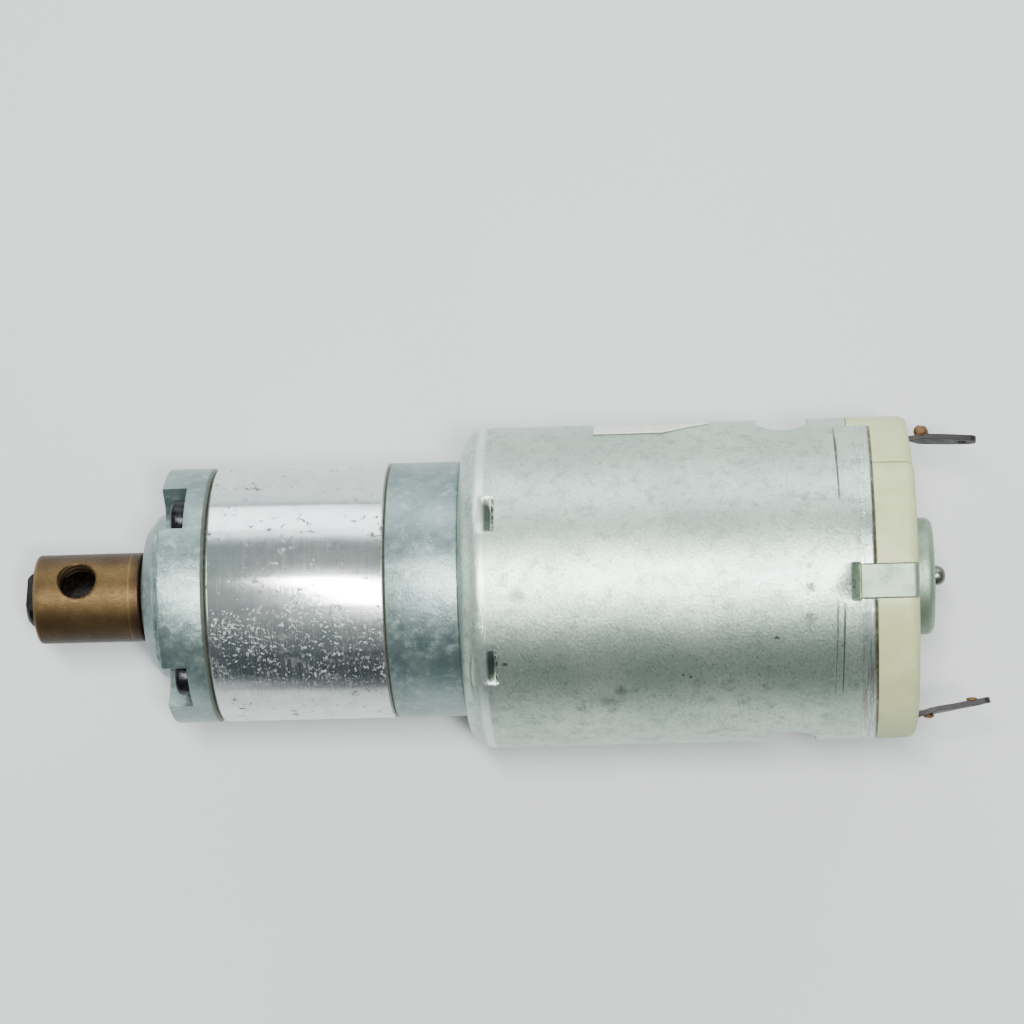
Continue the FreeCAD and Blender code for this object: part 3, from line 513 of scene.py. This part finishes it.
finishes = {
    "cast_zinc": cast_zinc(),
    "can_sheet": can_sheet(),
    "plated_barrel": plated_barrel(),
    "plated_sheet": plated_sheet(),
    "bronze": bronze(),
    "nylon": nylon(),
    "steel": steel("steel", (96, 98, 92), (140, 142, 128), 0.30, 0.46),
    "dark_steel": steel("dark_steel", (40, 37, 36), (58, 54, 52), 0.34, 0.5),
    "gear_steel": steel("gear_steel", (104, 104, 102), (150, 150, 146), 0.25, 0.4),
    "sintered_bronze": plain(
        "sintered_bronze", (120, 88, 52), (160, 122, 76), 0.45, 0.6, 3.0, 0.02, 0.9),
    "black_screw": plain("black_screw", (20, 21, 23), (42, 43, 46), 0.25, 0.4, 2.0, 0.01, 0.8),
    "ferrite": plain("ferrite", (40, 40, 42), (62, 61, 60), 0.55, 0.7),
    "lamination": plain("lamination", (88, 92, 96), (128, 130, 132), 0.35, 0.5, 2.5, 0.02, 0.9),
    "fibre": plain("fibre", (150, 60, 40), (176, 80, 54), 0.6, 0.75),
    "enamelled_wire": plain(
        "enamelled_wire", (130, 52, 24), (172, 82, 40), 0.25, 0.4, 2.0, 0.06, 0.7),
    "copper": plain("copper", (168, 92, 60), (196, 118, 84), 0.25, 0.4, 2.0, 0.01, 1.0),
    "carbon": plain("carbon", (26, 26, 27), (44, 44, 45), 0.5, 0.65),
    "spring_bronze": plain(
        "spring_bronze", (160, 120, 70), (190, 150, 94), 0.3, 0.4, 2.0, 0.01, 1.0),
    "tinned_brass": plain("tinned_brass", (20, 18, 23), (48, 40, 42), 0.44, 0.62, 1.6, 0.03, 0.35),
    "solder": plain("solder", (74, 48, 26), (124, 90, 54), 0.42, 0.6, 2.0, 0.05, 0.3),
    "paper": plain("paper", (206, 208, 202), (224, 226, 220), 0.65, 0.8, 1.0, 0.03),
}

# ---------------------------------------------------------------- CAD pieces

SHARP_ANGLE = 32
WELD_REACH = 0.002 * MM

slot_of = {part["node"]: part["material_slot"] for part in frame["record"]["subparts"]}


def soften(name, width):
    """Smooths a CAD node's round faces and gives its edges a small bevel."""
    thing = nodes[name]
    thing.data.shade_smooth()
    weld = thing.modifiers.new("weld", "WELD")
    weld.merge_threshold = WELD_REACH
    bevel = thing.modifiers.new("bevel", "BEVEL")
    bevel.width = width * MM
    bevel.segments = 2
    bevel.limit_method = "ANGLE"
    bevel.angle_limit = math.radians(SHARP_ANGLE)
    bevel.harden_normals = True


for name, thing in nodes.items():
    if name in slot_of:
        for slot in thing.material_slots:
            slot.material = finishes[slot_of[name]]

for slot in nodes["output_shaft"].material_slots:
    slot.material = finishes["dark_steel"]

for name, width in {
    "front_housing": 0.16, "ring_gear": 0.06, "rear_adaptor": 0.08, "end_cap": 0.15,
    "output_shaft": 0.08, "gearbox_screws": 0.08, "motor_shaft": 0.05,
}.items():
    soften(name, width)


# ---------------------------------------------------------------- mesh building

JOIN_REACH = 0.008 * MM


def clocked(x, radius, clock):
    """A point in metres from x and radius in millimetres and a clock angle in degrees."""
    turn = math.radians(clock)
    return Vector((x, -radius * math.sin(turn), radius * math.cos(turn))) * MM


def lines_between(low, high, coarse, spans):
    """Grid lines at a coarse step, with a finer step inside each (start, end, step) span."""
    ends = {mark for start, end, _ in spans for mark in (start, end) if low < mark < high}
    marks = sorted({low, high} | ends)
    lines = [low]
    for start, end in zip(marks, marks[1:]):
        centre = (start + end) / 2
        step = min([coarse] + [fine for first, last, fine in spans if first < centre < last])
        count = max(1, round((end - start) / step))
        lines += [start + (end - start) * k / count for k in range(1, count + 1)]
    return lines


def smooth(value):
    """0 up to value 0 and 1 from value 1, with a soft step between."""
    value = min(1.0, max(0.0, value))
    return value * value * (3 - 2 * value)


def apart(clock, centre):
    """The signed difference of two clock angles, within half a turn."""
    return (clock - centre + 180) % 360 - 180


def snapped(x, clock, radius, outline, reach):
    """A grid point moved onto an outline (x, clock) -> signed distance, where it is near it."""
    here = outline(x, clock)
    if abs(here) > reach:
        return x, clock
    step = 0.01
    turn = math.degrees(step / radius)
    slope_x = (outline(x + step, clock) - outline(x - step, clock)) / (2 * step)
    slope_s = (outline(x, clock + turn) - outline(x, clock - turn)) / (2 * step)
    size = max(1e-6, slope_x ** 2 + slope_s ** 2)
    return x - here * slope_x / size, clock - math.degrees(here * slope_s / size / radius)


def skin(profile, clocks, relief=None, holes=None, reach=0.0, round_trip=True):
    """A surface of rings round the X axis.

    profile gives its (x, radius) rows, and relief(x, clock, radius) adds to the radius. Cells whose
    middle has holes(x, clock) below 0 are left out, and points within reach of that outline move
    onto it.
    """
    mesh = bmesh.new()
    grid = []
    for x, radius in profile:
        ring = []
        for clock in clocks:
            at_x, at_clock = x, clock
            if holes and reach:
                at_x, at_clock = snapped(x, clock, radius, holes, reach)
            rise = relief(at_x, at_clock, radius) if relief else 0.0
            ring.append((mesh.verts.new(clocked(at_x, radius + rise, at_clock)), at_x, at_clock))
        grid.append(ring)
    columns = len(clocks) if round_trip else len(clocks) - 1
    for row, following in zip(grid, grid[1:]):
        for column in range(columns):
            near = (column + 1) % len(clocks)
            corners = (row[column], following[column], following[near], row[near])
            if holes:
                middle_x = sum(corner[1] for corner in corners) / 4
                first = corners[0][2]
                middle_clock = first + sum(apart(corner[2], first) for corner in corners) / 4
                if holes(middle_x, middle_clock) < 0:
                    continue
            mesh.faces.new([corner[0] for corner in corners])
    bmesh.ops.remove_doubles(mesh, verts=mesh.verts, dist=JOIN_REACH)
    loose = [vert for vert in mesh.verts if not vert.link_faces]
    bmesh.ops.delete(mesh, geom=loose, context="VERTS")
    return mesh


def piece(name, mesh, finish, body, replaced=(), thickness=0.0, bevel=0.0, angle=35):
    """A finished object from a bmesh, with an optional wall thickness inward and bevelled edges."""
    data = bpy.data.meshes.new(name)
    bmesh.ops.recalc_face_normals(mesh, faces=mesh.faces)
    mesh.to_mesh(data)
    mesh.free()
    data.shade_smooth()
    thing = bpy.data.objects.new(name, data)
    bpy.context.collection.objects.link(thing)
    data.materials.append(finishes[finish])
    if thickness:
        wall = thing.modifiers.new("wall", "SOLIDIFY")
        wall.thickness = thickness * MM
        wall.offset = -1
        wall.use_even_offset = True
    if bevel:
        edge = thing.modifiers.new("edge", "BEVEL")
        edge.width = bevel * MM
        edge.segments = 2
        edge.limit_method = "ANGLE"
        edge.angle_limit = math.radians(angle)
        edge.harden_normals = True
    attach(thing, body)
    if replaced:
        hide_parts(*replaced)
    return thing


def arc_rows(x, radius, corner, start, end, count):
    """Profile rows round a corner centred at (x, radius), between two angles from the X axis."""
    rows = []
    for k in range(count + 1):
        angle = math.radians(start + (end - start) * k / count)
        rows.append((x + corner * math.cos(angle), radius + corner * math.sin(angle)))
    return rows


# ---------------------------------------------------------------- motor can

WALL = 1.0
CORNER = 2.8
RELIEF_FROM = CAN_R - 1.6
SKIN_DROP = 0.02
# Two ramped notches in the rear edge, at clock 0 and 180, take the end plate's ears
NOTCH_FRONT = CAN_BACK - 2.8
NOTCH_HALF = 1.9
NOTCH_RAMP = 1.0
NOTCH_LIP = 0.2
# A wide notch at clock -90 takes the cap's key (half width in degrees)
KEY_FRONT = CAN_BACK - 2.5
KEY_HALF = 19.5
# Two vents at clock 90 and -90: slots with round ends
VENT_X = CAN_FRONT + 35.5
VENT_R = 2.8
VENT_HALF_CLOCK = 22.5
# Stops pressed into the can at STOP_CLOCKS: each ramps down, curls up and ends at a cut
STOP_START = 2.0
STOP_LENGTH = 2.1
STOP_HALF = 2.25
STOP_DEPTH = 0.95
STOP_CURL_AT = 0.82
STOP_CURL = 0.35
STOP_CUT = 4.1
STOP_SPAN = 7.6
# A creased dent in the front shoulder
CREASE_X = 1.2
CREASE_CLOCK = 32
CREASE_DEPTH = 0.10
# A shallow band and a rolled edge, measured from the rear edge
BAND_START = 2.1
BAND_END = 1.1
BAND_DEPTH = 0.05
EDGE_ROLL = 0.20
EDGE_ROLL_LENGTH = 0.4


def can_holes(x, clock):
    """Signed distance to the nearest vent or notch, negative inside it."""
    nearest = math.inf
    for centre in (90, -90):
        along = abs(math.radians(apart(clock, centre))) * CAN_R
        straight = max(0.0, along - (math.radians(VENT_HALF_CLOCK) * CAN_R - VENT_R))
        nearest = min(nearest, math.hypot(straight, x - VENT_X) - VENT_R)
    for centre in (0, 180):
        along = abs(math.radians(apart(clock, centre))) * CAN_R
        nearest = min(nearest, max(along - NOTCH_HALF, NOTCH_FRONT + NOTCH_RAMP - x))
    along = abs(math.radians(apart(clock, -90))) * CAN_R
    return min(nearest, max(along - math.radians(KEY_HALF) * CAN_R, KEY_FRONT - x))


def can_relief(x, clock, radius):
    """The change of radius at the can's stops, notches, crease and rear band, and all over it."""
    if radius < RELIEF_FROM:
        return 0.0
    place = Vector((x * 0.35, math.radians(clock) * 6, radius * 0.1))
    rise = 0.014 * noise.noise(place) + 0.008 * noise.noise(place * 3.1) - SKIN_DROP
    for centre in STOP_CLOCKS:
        across = math.radians(apart(clock, centre)) * CAN_R / STOP_HALF
        ahead = (x - (CAN_FRONT + STOP_START)) / STOP_LENGTH
        if abs(across) < 1 and 0 < ahead <= 1.001:
            curl = STOP_CURL * smooth((ahead - STOP_CURL_AT) / (1 - STOP_CURL_AT))
            dip = STOP_DEPTH * min(ahead / STOP_CURL_AT, 1.0) - curl
            rise -= dip * (1 - abs(across) ** 2.4)
    for centre in (0, 180):
        across = abs(math.radians(apart(clock, centre))) * CAN_R
        if x < NOTCH_FRONT + NOTCH_RAMP + 0.01:
            ramp = smooth((x - NOTCH_FRONT) / NOTCH_RAMP)
            rise -= ramp * smooth((NOTCH_HALF + NOTCH_LIP - across) / NOTCH_LIP)
    crease = x - (CAN_FRONT + CREASE_X + 0.4 * (apart(clock, CREASE_CLOCK) / 11) ** 2)
    crease_end = smooth((13 - abs(apart(clock, CREASE_CLOCK))) / 6)
    rise -= CREASE_DEPTH * math.exp(-(crease / 0.10) ** 2) * crease_end
    rear = CAN_BACK - x
    rise -= BAND_DEPTH * smooth((BAND_START - rear) / 0.25) * smooth((rear - BAND_END) / 0.3)
    rise -= EDGE_ROLL * smooth((EDGE_ROLL_LENGTH - rear) / EDGE_ROLL_LENGTH)
    return rise


can_rows = [(CAN_FRONT - 2.4, 2.6), (CAN_FRONT - 2.4, 5.7)]
can_rows += arc_rows(CAN_FRONT - 1.6, 5.7, 0.8, 180, 90, 4)
can_rows += [(CAN_FRONT, 6.5), (CAN_FRONT, 10.0), (CAN_FRONT, 14.5)]
can_rows += arc_rows(CAN_FRONT + CORNER, CAN_R - CORNER, CORNER, 180, 90, 26)
can_rows += [(x, CAN_R) for x in lines_between(CAN_FRONT + CORNER, CAN_BACK, 1.2, [
    (CAN_FRONT + CORNER, CAN_FRONT + STOP_CUT, 0.1),
    (CAN_FRONT + STOP_CUT, CAN_FRONT + STOP_CUT + 0.06, 0.06), (VENT_X - 3.2, VENT_X + 3.2, 0.3),
    (NOTCH_FRONT, NOTCH_FRONT + NOTCH_RAMP, 0.25), (KEY_FRONT, KEY_FRONT + 0.2, 0.2),
    (NOTCH_FRONT + NOTCH_RAMP, CAN_BACK, 0.12)])[1:]]
# The can's columns are finer at its stops, notches, vents and key
can_spans = [(centre % 360 - STOP_SPAN, centre % 360 + STOP_SPAN, 0.55) for centre in STOP_CLOCKS]
notch_edge = math.degrees(NOTCH_HALF / CAN_R)
lip_edge = math.degrees((NOTCH_HALF + NOTCH_LIP) / CAN_R)
for centre in (180, 360):
    can_spans += [(centre - lip_edge, centre - notch_edge, 0.3),
                  (centre + notch_edge, centre + lip_edge, 0.3)]
can_spans += [(notch_edge, lip_edge, 0.3)]
can_spans += [(66, 74, 0.9), (106, 114, 0.9), (246, 254, 0.9), (286, 294, 0.9)]
can_spans += [(270 - KEY_HALF, 270 - KEY_HALF + 1, 0.5), (270 + KEY_HALF - 1, 270 + KEY_HALF, 0.5)]
can_clocks = lines_between(0, 360, 2.0, can_spans)[:-1]
can_mesh = skin(can_rows, can_clocks, can_relief, can_holes, 0.16)
piece("can_shell", can_mesh, "can_sheet", "housing", ["motor_can"], thickness=WALL, bevel=0.05,
      angle=40)


# ---------------------------------------------------------------- end plate

# A disc with a drawn bearing boss and two ears that reach forward into the can's notches
PLATE_FRONT = CAN_BACK + 3.5
PLATE_BACK = CAN_BACK + 4.5
PLATE_R = 13.9
BOSS_R = 6.5
BOSS_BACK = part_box("end_plate")[1].x / MM
EAR_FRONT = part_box("end_plate")[0].x / MM - 0.12
EAR_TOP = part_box("end_plate")[1].z / MM
EAR_HALF = 1.83
EAR_WALL = 1.0
PLATE_BORE = 5.5
PLATE_ROUND = 0.2
ROOT_ROUND = 0.5
BOSS_ROUND = 0.9
EAR_ROUND = 0.7
BOSS_HOLE_R = 1.6

plate_rows = [(PLATE_FRONT, PLATE_BORE), (PLATE_FRONT, 9.0), (PLATE_FRONT, PLATE_R - PLATE_ROUND)]
plate_rows += arc_rows(
    PLATE_FRONT + PLATE_ROUND, PLATE_R - PLATE_ROUND, PLATE_ROUND, 180, 90, 3)[1:]
plate_rows += arc_rows(PLATE_BACK - PLATE_ROUND, PLATE_R - PLATE_ROUND, PLATE_ROUND, 90, 0, 3)
plate_rows += [(PLATE_BACK, 12.0), (PLATE_BACK, 9.5), (PLATE_BACK, 7.4)]
plate_rows += arc_rows(PLATE_BACK + ROOT_ROUND, BOSS_R + ROOT_ROUND, ROOT_ROUND, 180, 270, 6)
plate_rows += arc_rows(BOSS_BACK - BOSS_ROUND, BOSS_R - BOSS_ROUND, BOSS_ROUND, 90, 0, 10)
plate_rows += [(BOSS_BACK, 4.0), (BOSS_BACK, BOSS_HOLE_R + 0.5)]
plate_rows += [(BOSS_BACK - 0.2, BOSS_HOLE_R), (BOSS_BACK - 1.0, BOSS_HOLE_R)]
plate_rows += [(BOSS_BACK - 1.0, 5.3), (BOSS_BACK - 1.2, PLATE_BORE), (PLATE_FRONT, PLATE_BORE)]
plate_mesh = skin(plate_rows, lines_between(0, 360, 4.0, [])[:-1])

EAR_ROOT = PLATE_R - 0.15
ear_outline = [(PLATE_FRONT, EAR_ROOT), (PLATE_FRONT, EAR_TOP - EAR_WALL)]
ear_outline += [(EAR_FRONT, EAR_TOP - EAR_WALL), (EAR_FRONT, EAR_TOP)]
ear_outline += arc_rows(PLATE_BACK - EAR_ROUND, EAR_TOP - EAR_ROUND, EAR_ROUND, 90, 0, 6)
ear_outline += [(PLATE_BACK, EAR_ROOT)]
for clock in (0, 180):
    turn = math.radians(clock)
    sides = []
    for half in (-EAR_HALF, EAR_HALF):
        corners = [Vector((x, half * math.cos(turn), z * math.cos(turn))) * MM
                   for x, z in ear_outline]
        sides.append([plate_mesh.verts.new(corner) for corner in corners])
    plate_mesh.faces.new(sides[0])
    plate_mesh.faces.new(reversed(sides[1]))
    for k in range(len(ear_outline)):
        plate_mesh.faces.new((sides[0][k - 1], sides[0][k], sides[1][k], sides[1][k - 1]))
piece("rear_plate", plate_mesh, "plated_sheet", "housing", ["end_plate"], bevel=0.13, angle=40)


# ---------------------------------------------------------------- coupling

HUB_R = 5.0
HUB_BORE = 3.02
HUB_ROUND = 0.35
HOLE_X = HUB_FRONT + 4.95
HOLE_CLOCK = -27.3
HOLE_R = 2.14
SHAFT_R = 3.0
THREAD_R = 2.1
THREAD_PITCH = 0.8
THREAD_DEPTH = 0.26
THREAD_STEPS = 30


def hub_hole(x, clock):
    """Signed distance to the tapped hole, negative inside it."""
    if abs(apart(clock, HOLE_CLOCK)) >= 90:
        return math.inf
    return math.hypot(x - HOLE_X, HUB_R * math.sin(math.radians(apart(clock, HOLE_CLOCK)))) - HOLE_R


def hub_relief(x, clock, radius):
    """Wear on the outside, and a slight dip round the hole's rim."""
    if radius < HUB_R - HUB_ROUND - 0.05:
        return 0.0
    place = Vector((x * 0.8, math.radians(clock) * 3, radius * 0.1))
    worn = 0.012 * noise.noise(place) + 0.006 * noise.noise(place * 3.7)
    lip = 0.05 * smooth((0.30 - abs(hub_hole(x, clock))) / 0.30)
    return worn - lip


def threaded_wall(mesh):
    """Runs the edge of the hub's hole down to the bore as a tapped wall."""
    open_edges = [edge for edge in mesh.edges if edge.is_boundary]
    rim = dict.fromkeys(vert for edge in open_edges for vert in edge.verts
                        if abs(vert.co.x / MM - HOLE_X) < HOLE_R + 0.3)
    outward = clocked(0, 1, HOLE_CLOCK).normalized()
    sideways = outward.cross(Vector((1, 0, 0)))
    loop = sorted(rim, key=lambda v: math.atan2(v.co.dot(sideways), v.co.x - HOLE_X * MM))
    rings = [loop]
    for step in range(1, THREAD_STEPS + 1):
        ring = []
        for vert in loop:
            phase = math.atan2(vert.co.dot(sideways), vert.co.x - HOLE_X * MM)
            top = vert.co.dot(outward) / MM
            bottom = math.sqrt(SHAFT_R ** 2 - (THREAD_R * math.sin(phase)) ** 2)
            depth = top + (bottom - top) * step / THREAD_STEPS
            turn = (depth / THREAD_PITCH + phase / (2 * math.pi)) % 1
            ridge = HOLE_R + 0.16 - THREAD_DEPTH * smooth(1 - abs(2 * turn - 1)) * smooth(step / 3)
            centre = Vector((HOLE_X * MM, 0, 0)) + outward * depth * MM
            side = Vector((1, 0, 0)) * math.cos(phase) + sideways * math.sin(phase)
            ring.append(mesh.verts.new(centre + side * ridge * MM))
        rings.append(ring)
    for upper, lower in zip(rings, rings[1:]):
        for k in range(len(loop)):
            near = (k + 1) % len(loop)
            mesh.faces.new((upper[k], upper[near], lower[near], lower[k]))


hub_rows = [(HUB_FRONT + 2.0, HUB_BORE), (HUB_FRONT + 0.3, HUB_BORE)]
hub_rows += [(HUB_FRONT, 3.3), (HUB_FRONT, 4.0)]
hub_rows += arc_rows(HUB_FRONT + HUB_ROUND, HUB_R - HUB_ROUND, HUB_ROUND, 180, 90, 6)
hub_rows += [(x, HUB_R) for x in lines_between(HUB_FRONT + HUB_ROUND, HUB_BACK - HUB_ROUND, 0.6, [
    (HOLE_X - 2.7, HOLE_X + 2.7, 0.14)])[1:-1]]
hub_rows += arc_rows(HUB_BACK - HUB_ROUND, HUB_R - HUB_ROUND, HUB_ROUND, 90, 0, 6)
hub_rows += [(HUB_BACK, 4.0), (HUB_BACK, 3.3)]
hub_rows += [(HUB_BACK - 0.3, HUB_BORE), (HUB_BACK - 2.0, HUB_BORE)]
hub_clocks = lines_between(HOLE_CLOCK - 180, HOLE_CLOCK + 180, 4.0, [
    (HOLE_CLOCK - 33, HOLE_CLOCK + 33, 1.5)])[:-1]
hub_mesh = skin(hub_rows, hub_clocks, hub_relief, hub_hole, 0.075)
threaded_wall(hub_mesh)
piece("hub", hub_mesh, "bronze", "output", ["output_coupling"])


# ---------------------------------------------------------------- terminals and solder

# The blade bends at TAG_BEND along X, where it leaves the cap
TAG_BEND = 82.7
TAG_FOOT = 2.5
TAG_Y = 15.3
TAG_HALF = 1.5
TAG_WAIST_HALF = 1.38
TAG_TIP_HALF = 0.3
TAG_CORNER = 0.8
TAG_THICKNESS = 0.6
TAG_EYE_R = 0.55
TAG_EYE_BACK = 1.6


def terminal(name, node, side, inward, lean):
    """A solder tag: a straight foot in the cap and a leaning blade with an eye near its tip."""
    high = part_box(node)[1]
    length = high.x / MM - TAG_BEND
    turn = math.radians(inward)
    tilt = math.radians(lean)
    outline = [(-TAG_FOOT, -TAG_HALF), (0.0, -TAG_HALF), (length * 0.5, -TAG_WAIST_HALF)]
    for degrees in range(0, 91, 15):
        angle = math.radians(degrees)
        outline.append((length - TAG_CORNER + TAG_CORNER * math.sin(angle),
                        -TAG_TIP_HALF - TAG_CORNER * math.cos(angle)))
    outline += [(x, -z) for x, z in reversed(outline)]
    eye = arc_rows(length - TAG_EYE_BACK, 0.0, TAG_EYE_R, 0, 360, 18)[:-1]
    mesh = bmesh.new()
    loops = []
    for points in (outline, eye):
        corners = [mesh.verts.new((x, 0, z)) for x, z in points]
        loops += [mesh.edges.new((corners[k - 1], corners[k])) for k in range(len(corners))]
    bmesh.ops.triangle_fill(mesh, edges=loops, use_beauty=True)
    bmesh.ops.subdivide_edges(mesh, edges=mesh.edges, cuts=2, use_grid_fill=True)
    for vert in mesh.verts:
        run, up = vert.co.x, vert.co.z
        out = max(0.0, run)
        bumpy = 0.05 * noise.noise(Vector((run, up, side * 5)) * 1.6)
        leaning = smooth(out / 0.8) * tilt
        y = side * (TAG_Y - out * math.sin(turn)) - up * math.sin(leaning) + bumpy
        x = TAG_BEND + min(0.0, run) + out * math.cos(turn)
        vert.co = Vector((x, y, up * math.cos(leaning))) * MM
    tag = piece(name, mesh, "tinned_brass", "housing", [node], thickness=TAG_THICKNESS, bevel=0.07)
    tag.modifiers["wall"].offset = 0


def solder(name, place, size, seed, replaced=()):
    """A frozen drop of solder, lumpy and a little flattened."""
    mesh = bmesh.new()
    bmesh.ops.create_icosphere(mesh, subdivisions=4, radius=1)
    for vert in mesh.verts:
        lump = 1 + 0.16 * noise.noise(vert.co * 1.3 + Vector((seed, 0, 0)))
        lump += 0.07 * noise.noise(vert.co * 3.5 + Vector((0, seed, 0)))
        vert.co = (Vector(place) + Vector([a * b * lump for a, b in zip(vert.co, size)])) * MM
    piece(name, mesh, "solder", "housing", replaced)


terminal("tag_upper", "terminal_upper", 1, 2.6, -12)
terminal("tag_lower", "terminal_lower", -1, 9.5, -8)
solder("solder_upper", (83.9, 16.0, 0.7), (0.85, 0.72, 0.95), 3, ["terminal_solder"])
solder("solder_lower", (83.9, -15.5, 0.5), (0.6, 0.32, 0.8), 8)
solder("solder_tip", (88.7, -13.8, 0.8), (0.65, 0.24, 0.55), 15)


# ---------------------------------------------------------------- label

# Plain paper with one torn corner. Its two long edges are clock angles
LABEL_FRONT = CAN_FRONT + 14.7
LABEL_BACK = CAN_FRONT + 27.4
LABEL_EDGE = -68.0
LABEL_FAR_EDGE = -128
LABEL_RISE = 0.03
LABEL_CURL = 0.05
TEAR_X = CAN_FRONT + 22.4
TEAR_TURN = 10


def label_outline(x, clock):
    """Signed distance to the torn edge of the paper, negative on the side that is gone."""
    run = LABEL_BACK - TEAR_X
    drop = -math.radians(TEAR_TURN) * CAN_R
    ahead = x - TEAR_X
    below = math.radians(clock - LABEL_EDGE) * CAN_R
    size = math.hypot(run, drop)
    return (ahead * drop - below * run) / size


def label_relief(x, clock, radius):
    """The paper lifts a little, unevenly, along its two long edges."""
    edge = math.radians(min(abs(clock - LABEL_EDGE), abs(clock - LABEL_FAR_EDGE))) * CAN_R
    wave = 0.5 + noise.noise(Vector((x * 0.4, clock * 0.05, 0)))
    return LABEL_CURL * math.exp(-(edge / 0.5) ** 2) * wave


label_rows = [(x, CAN_R + LABEL_RISE) for x in lines_between(LABEL_FRONT, LABEL_BACK, 0.4, [])]
label_clocks = lines_between(LABEL_FAR_EDGE, LABEL_EDGE, 1.2, [])
label_mesh = skin(label_rows, label_clocks, label_relief, label_outline, 0.22, round_trip=False)
paper = piece("label", label_mesh, "paper", "housing", ["motor_label"], thickness=0.07)
paper.modifiers["wall"].offset = 1


# ---------------------------------------------------------------- floor

FLOOR_HALF = 2

floor_mesh = bpy.data.meshes.new("floor")
floor_corners = [(-1, -1, 0), (1, -1, 0), (1, 1, 0), (-1, 1, 0)]
floor_mesh.from_pydata([Vector(corner) * FLOOR_HALF for corner in floor_corners], [], [(0, 1, 2, 3)])
floor = bpy.data.objects.new("floor", floor_mesh)
floor.location = (MIDDLE[0], 0, -CAN_R * MM)
bpy.context.collection.objects.link(floor)
floor_finish = Finish("floor", 0.0)
floor_tint = floor_finish.mix(floor_finish.noise(0.02), (206, 210, 212), (212, 215, 216))
floor.data.materials.append(floor_finish.done(floor_tint, 0.8))
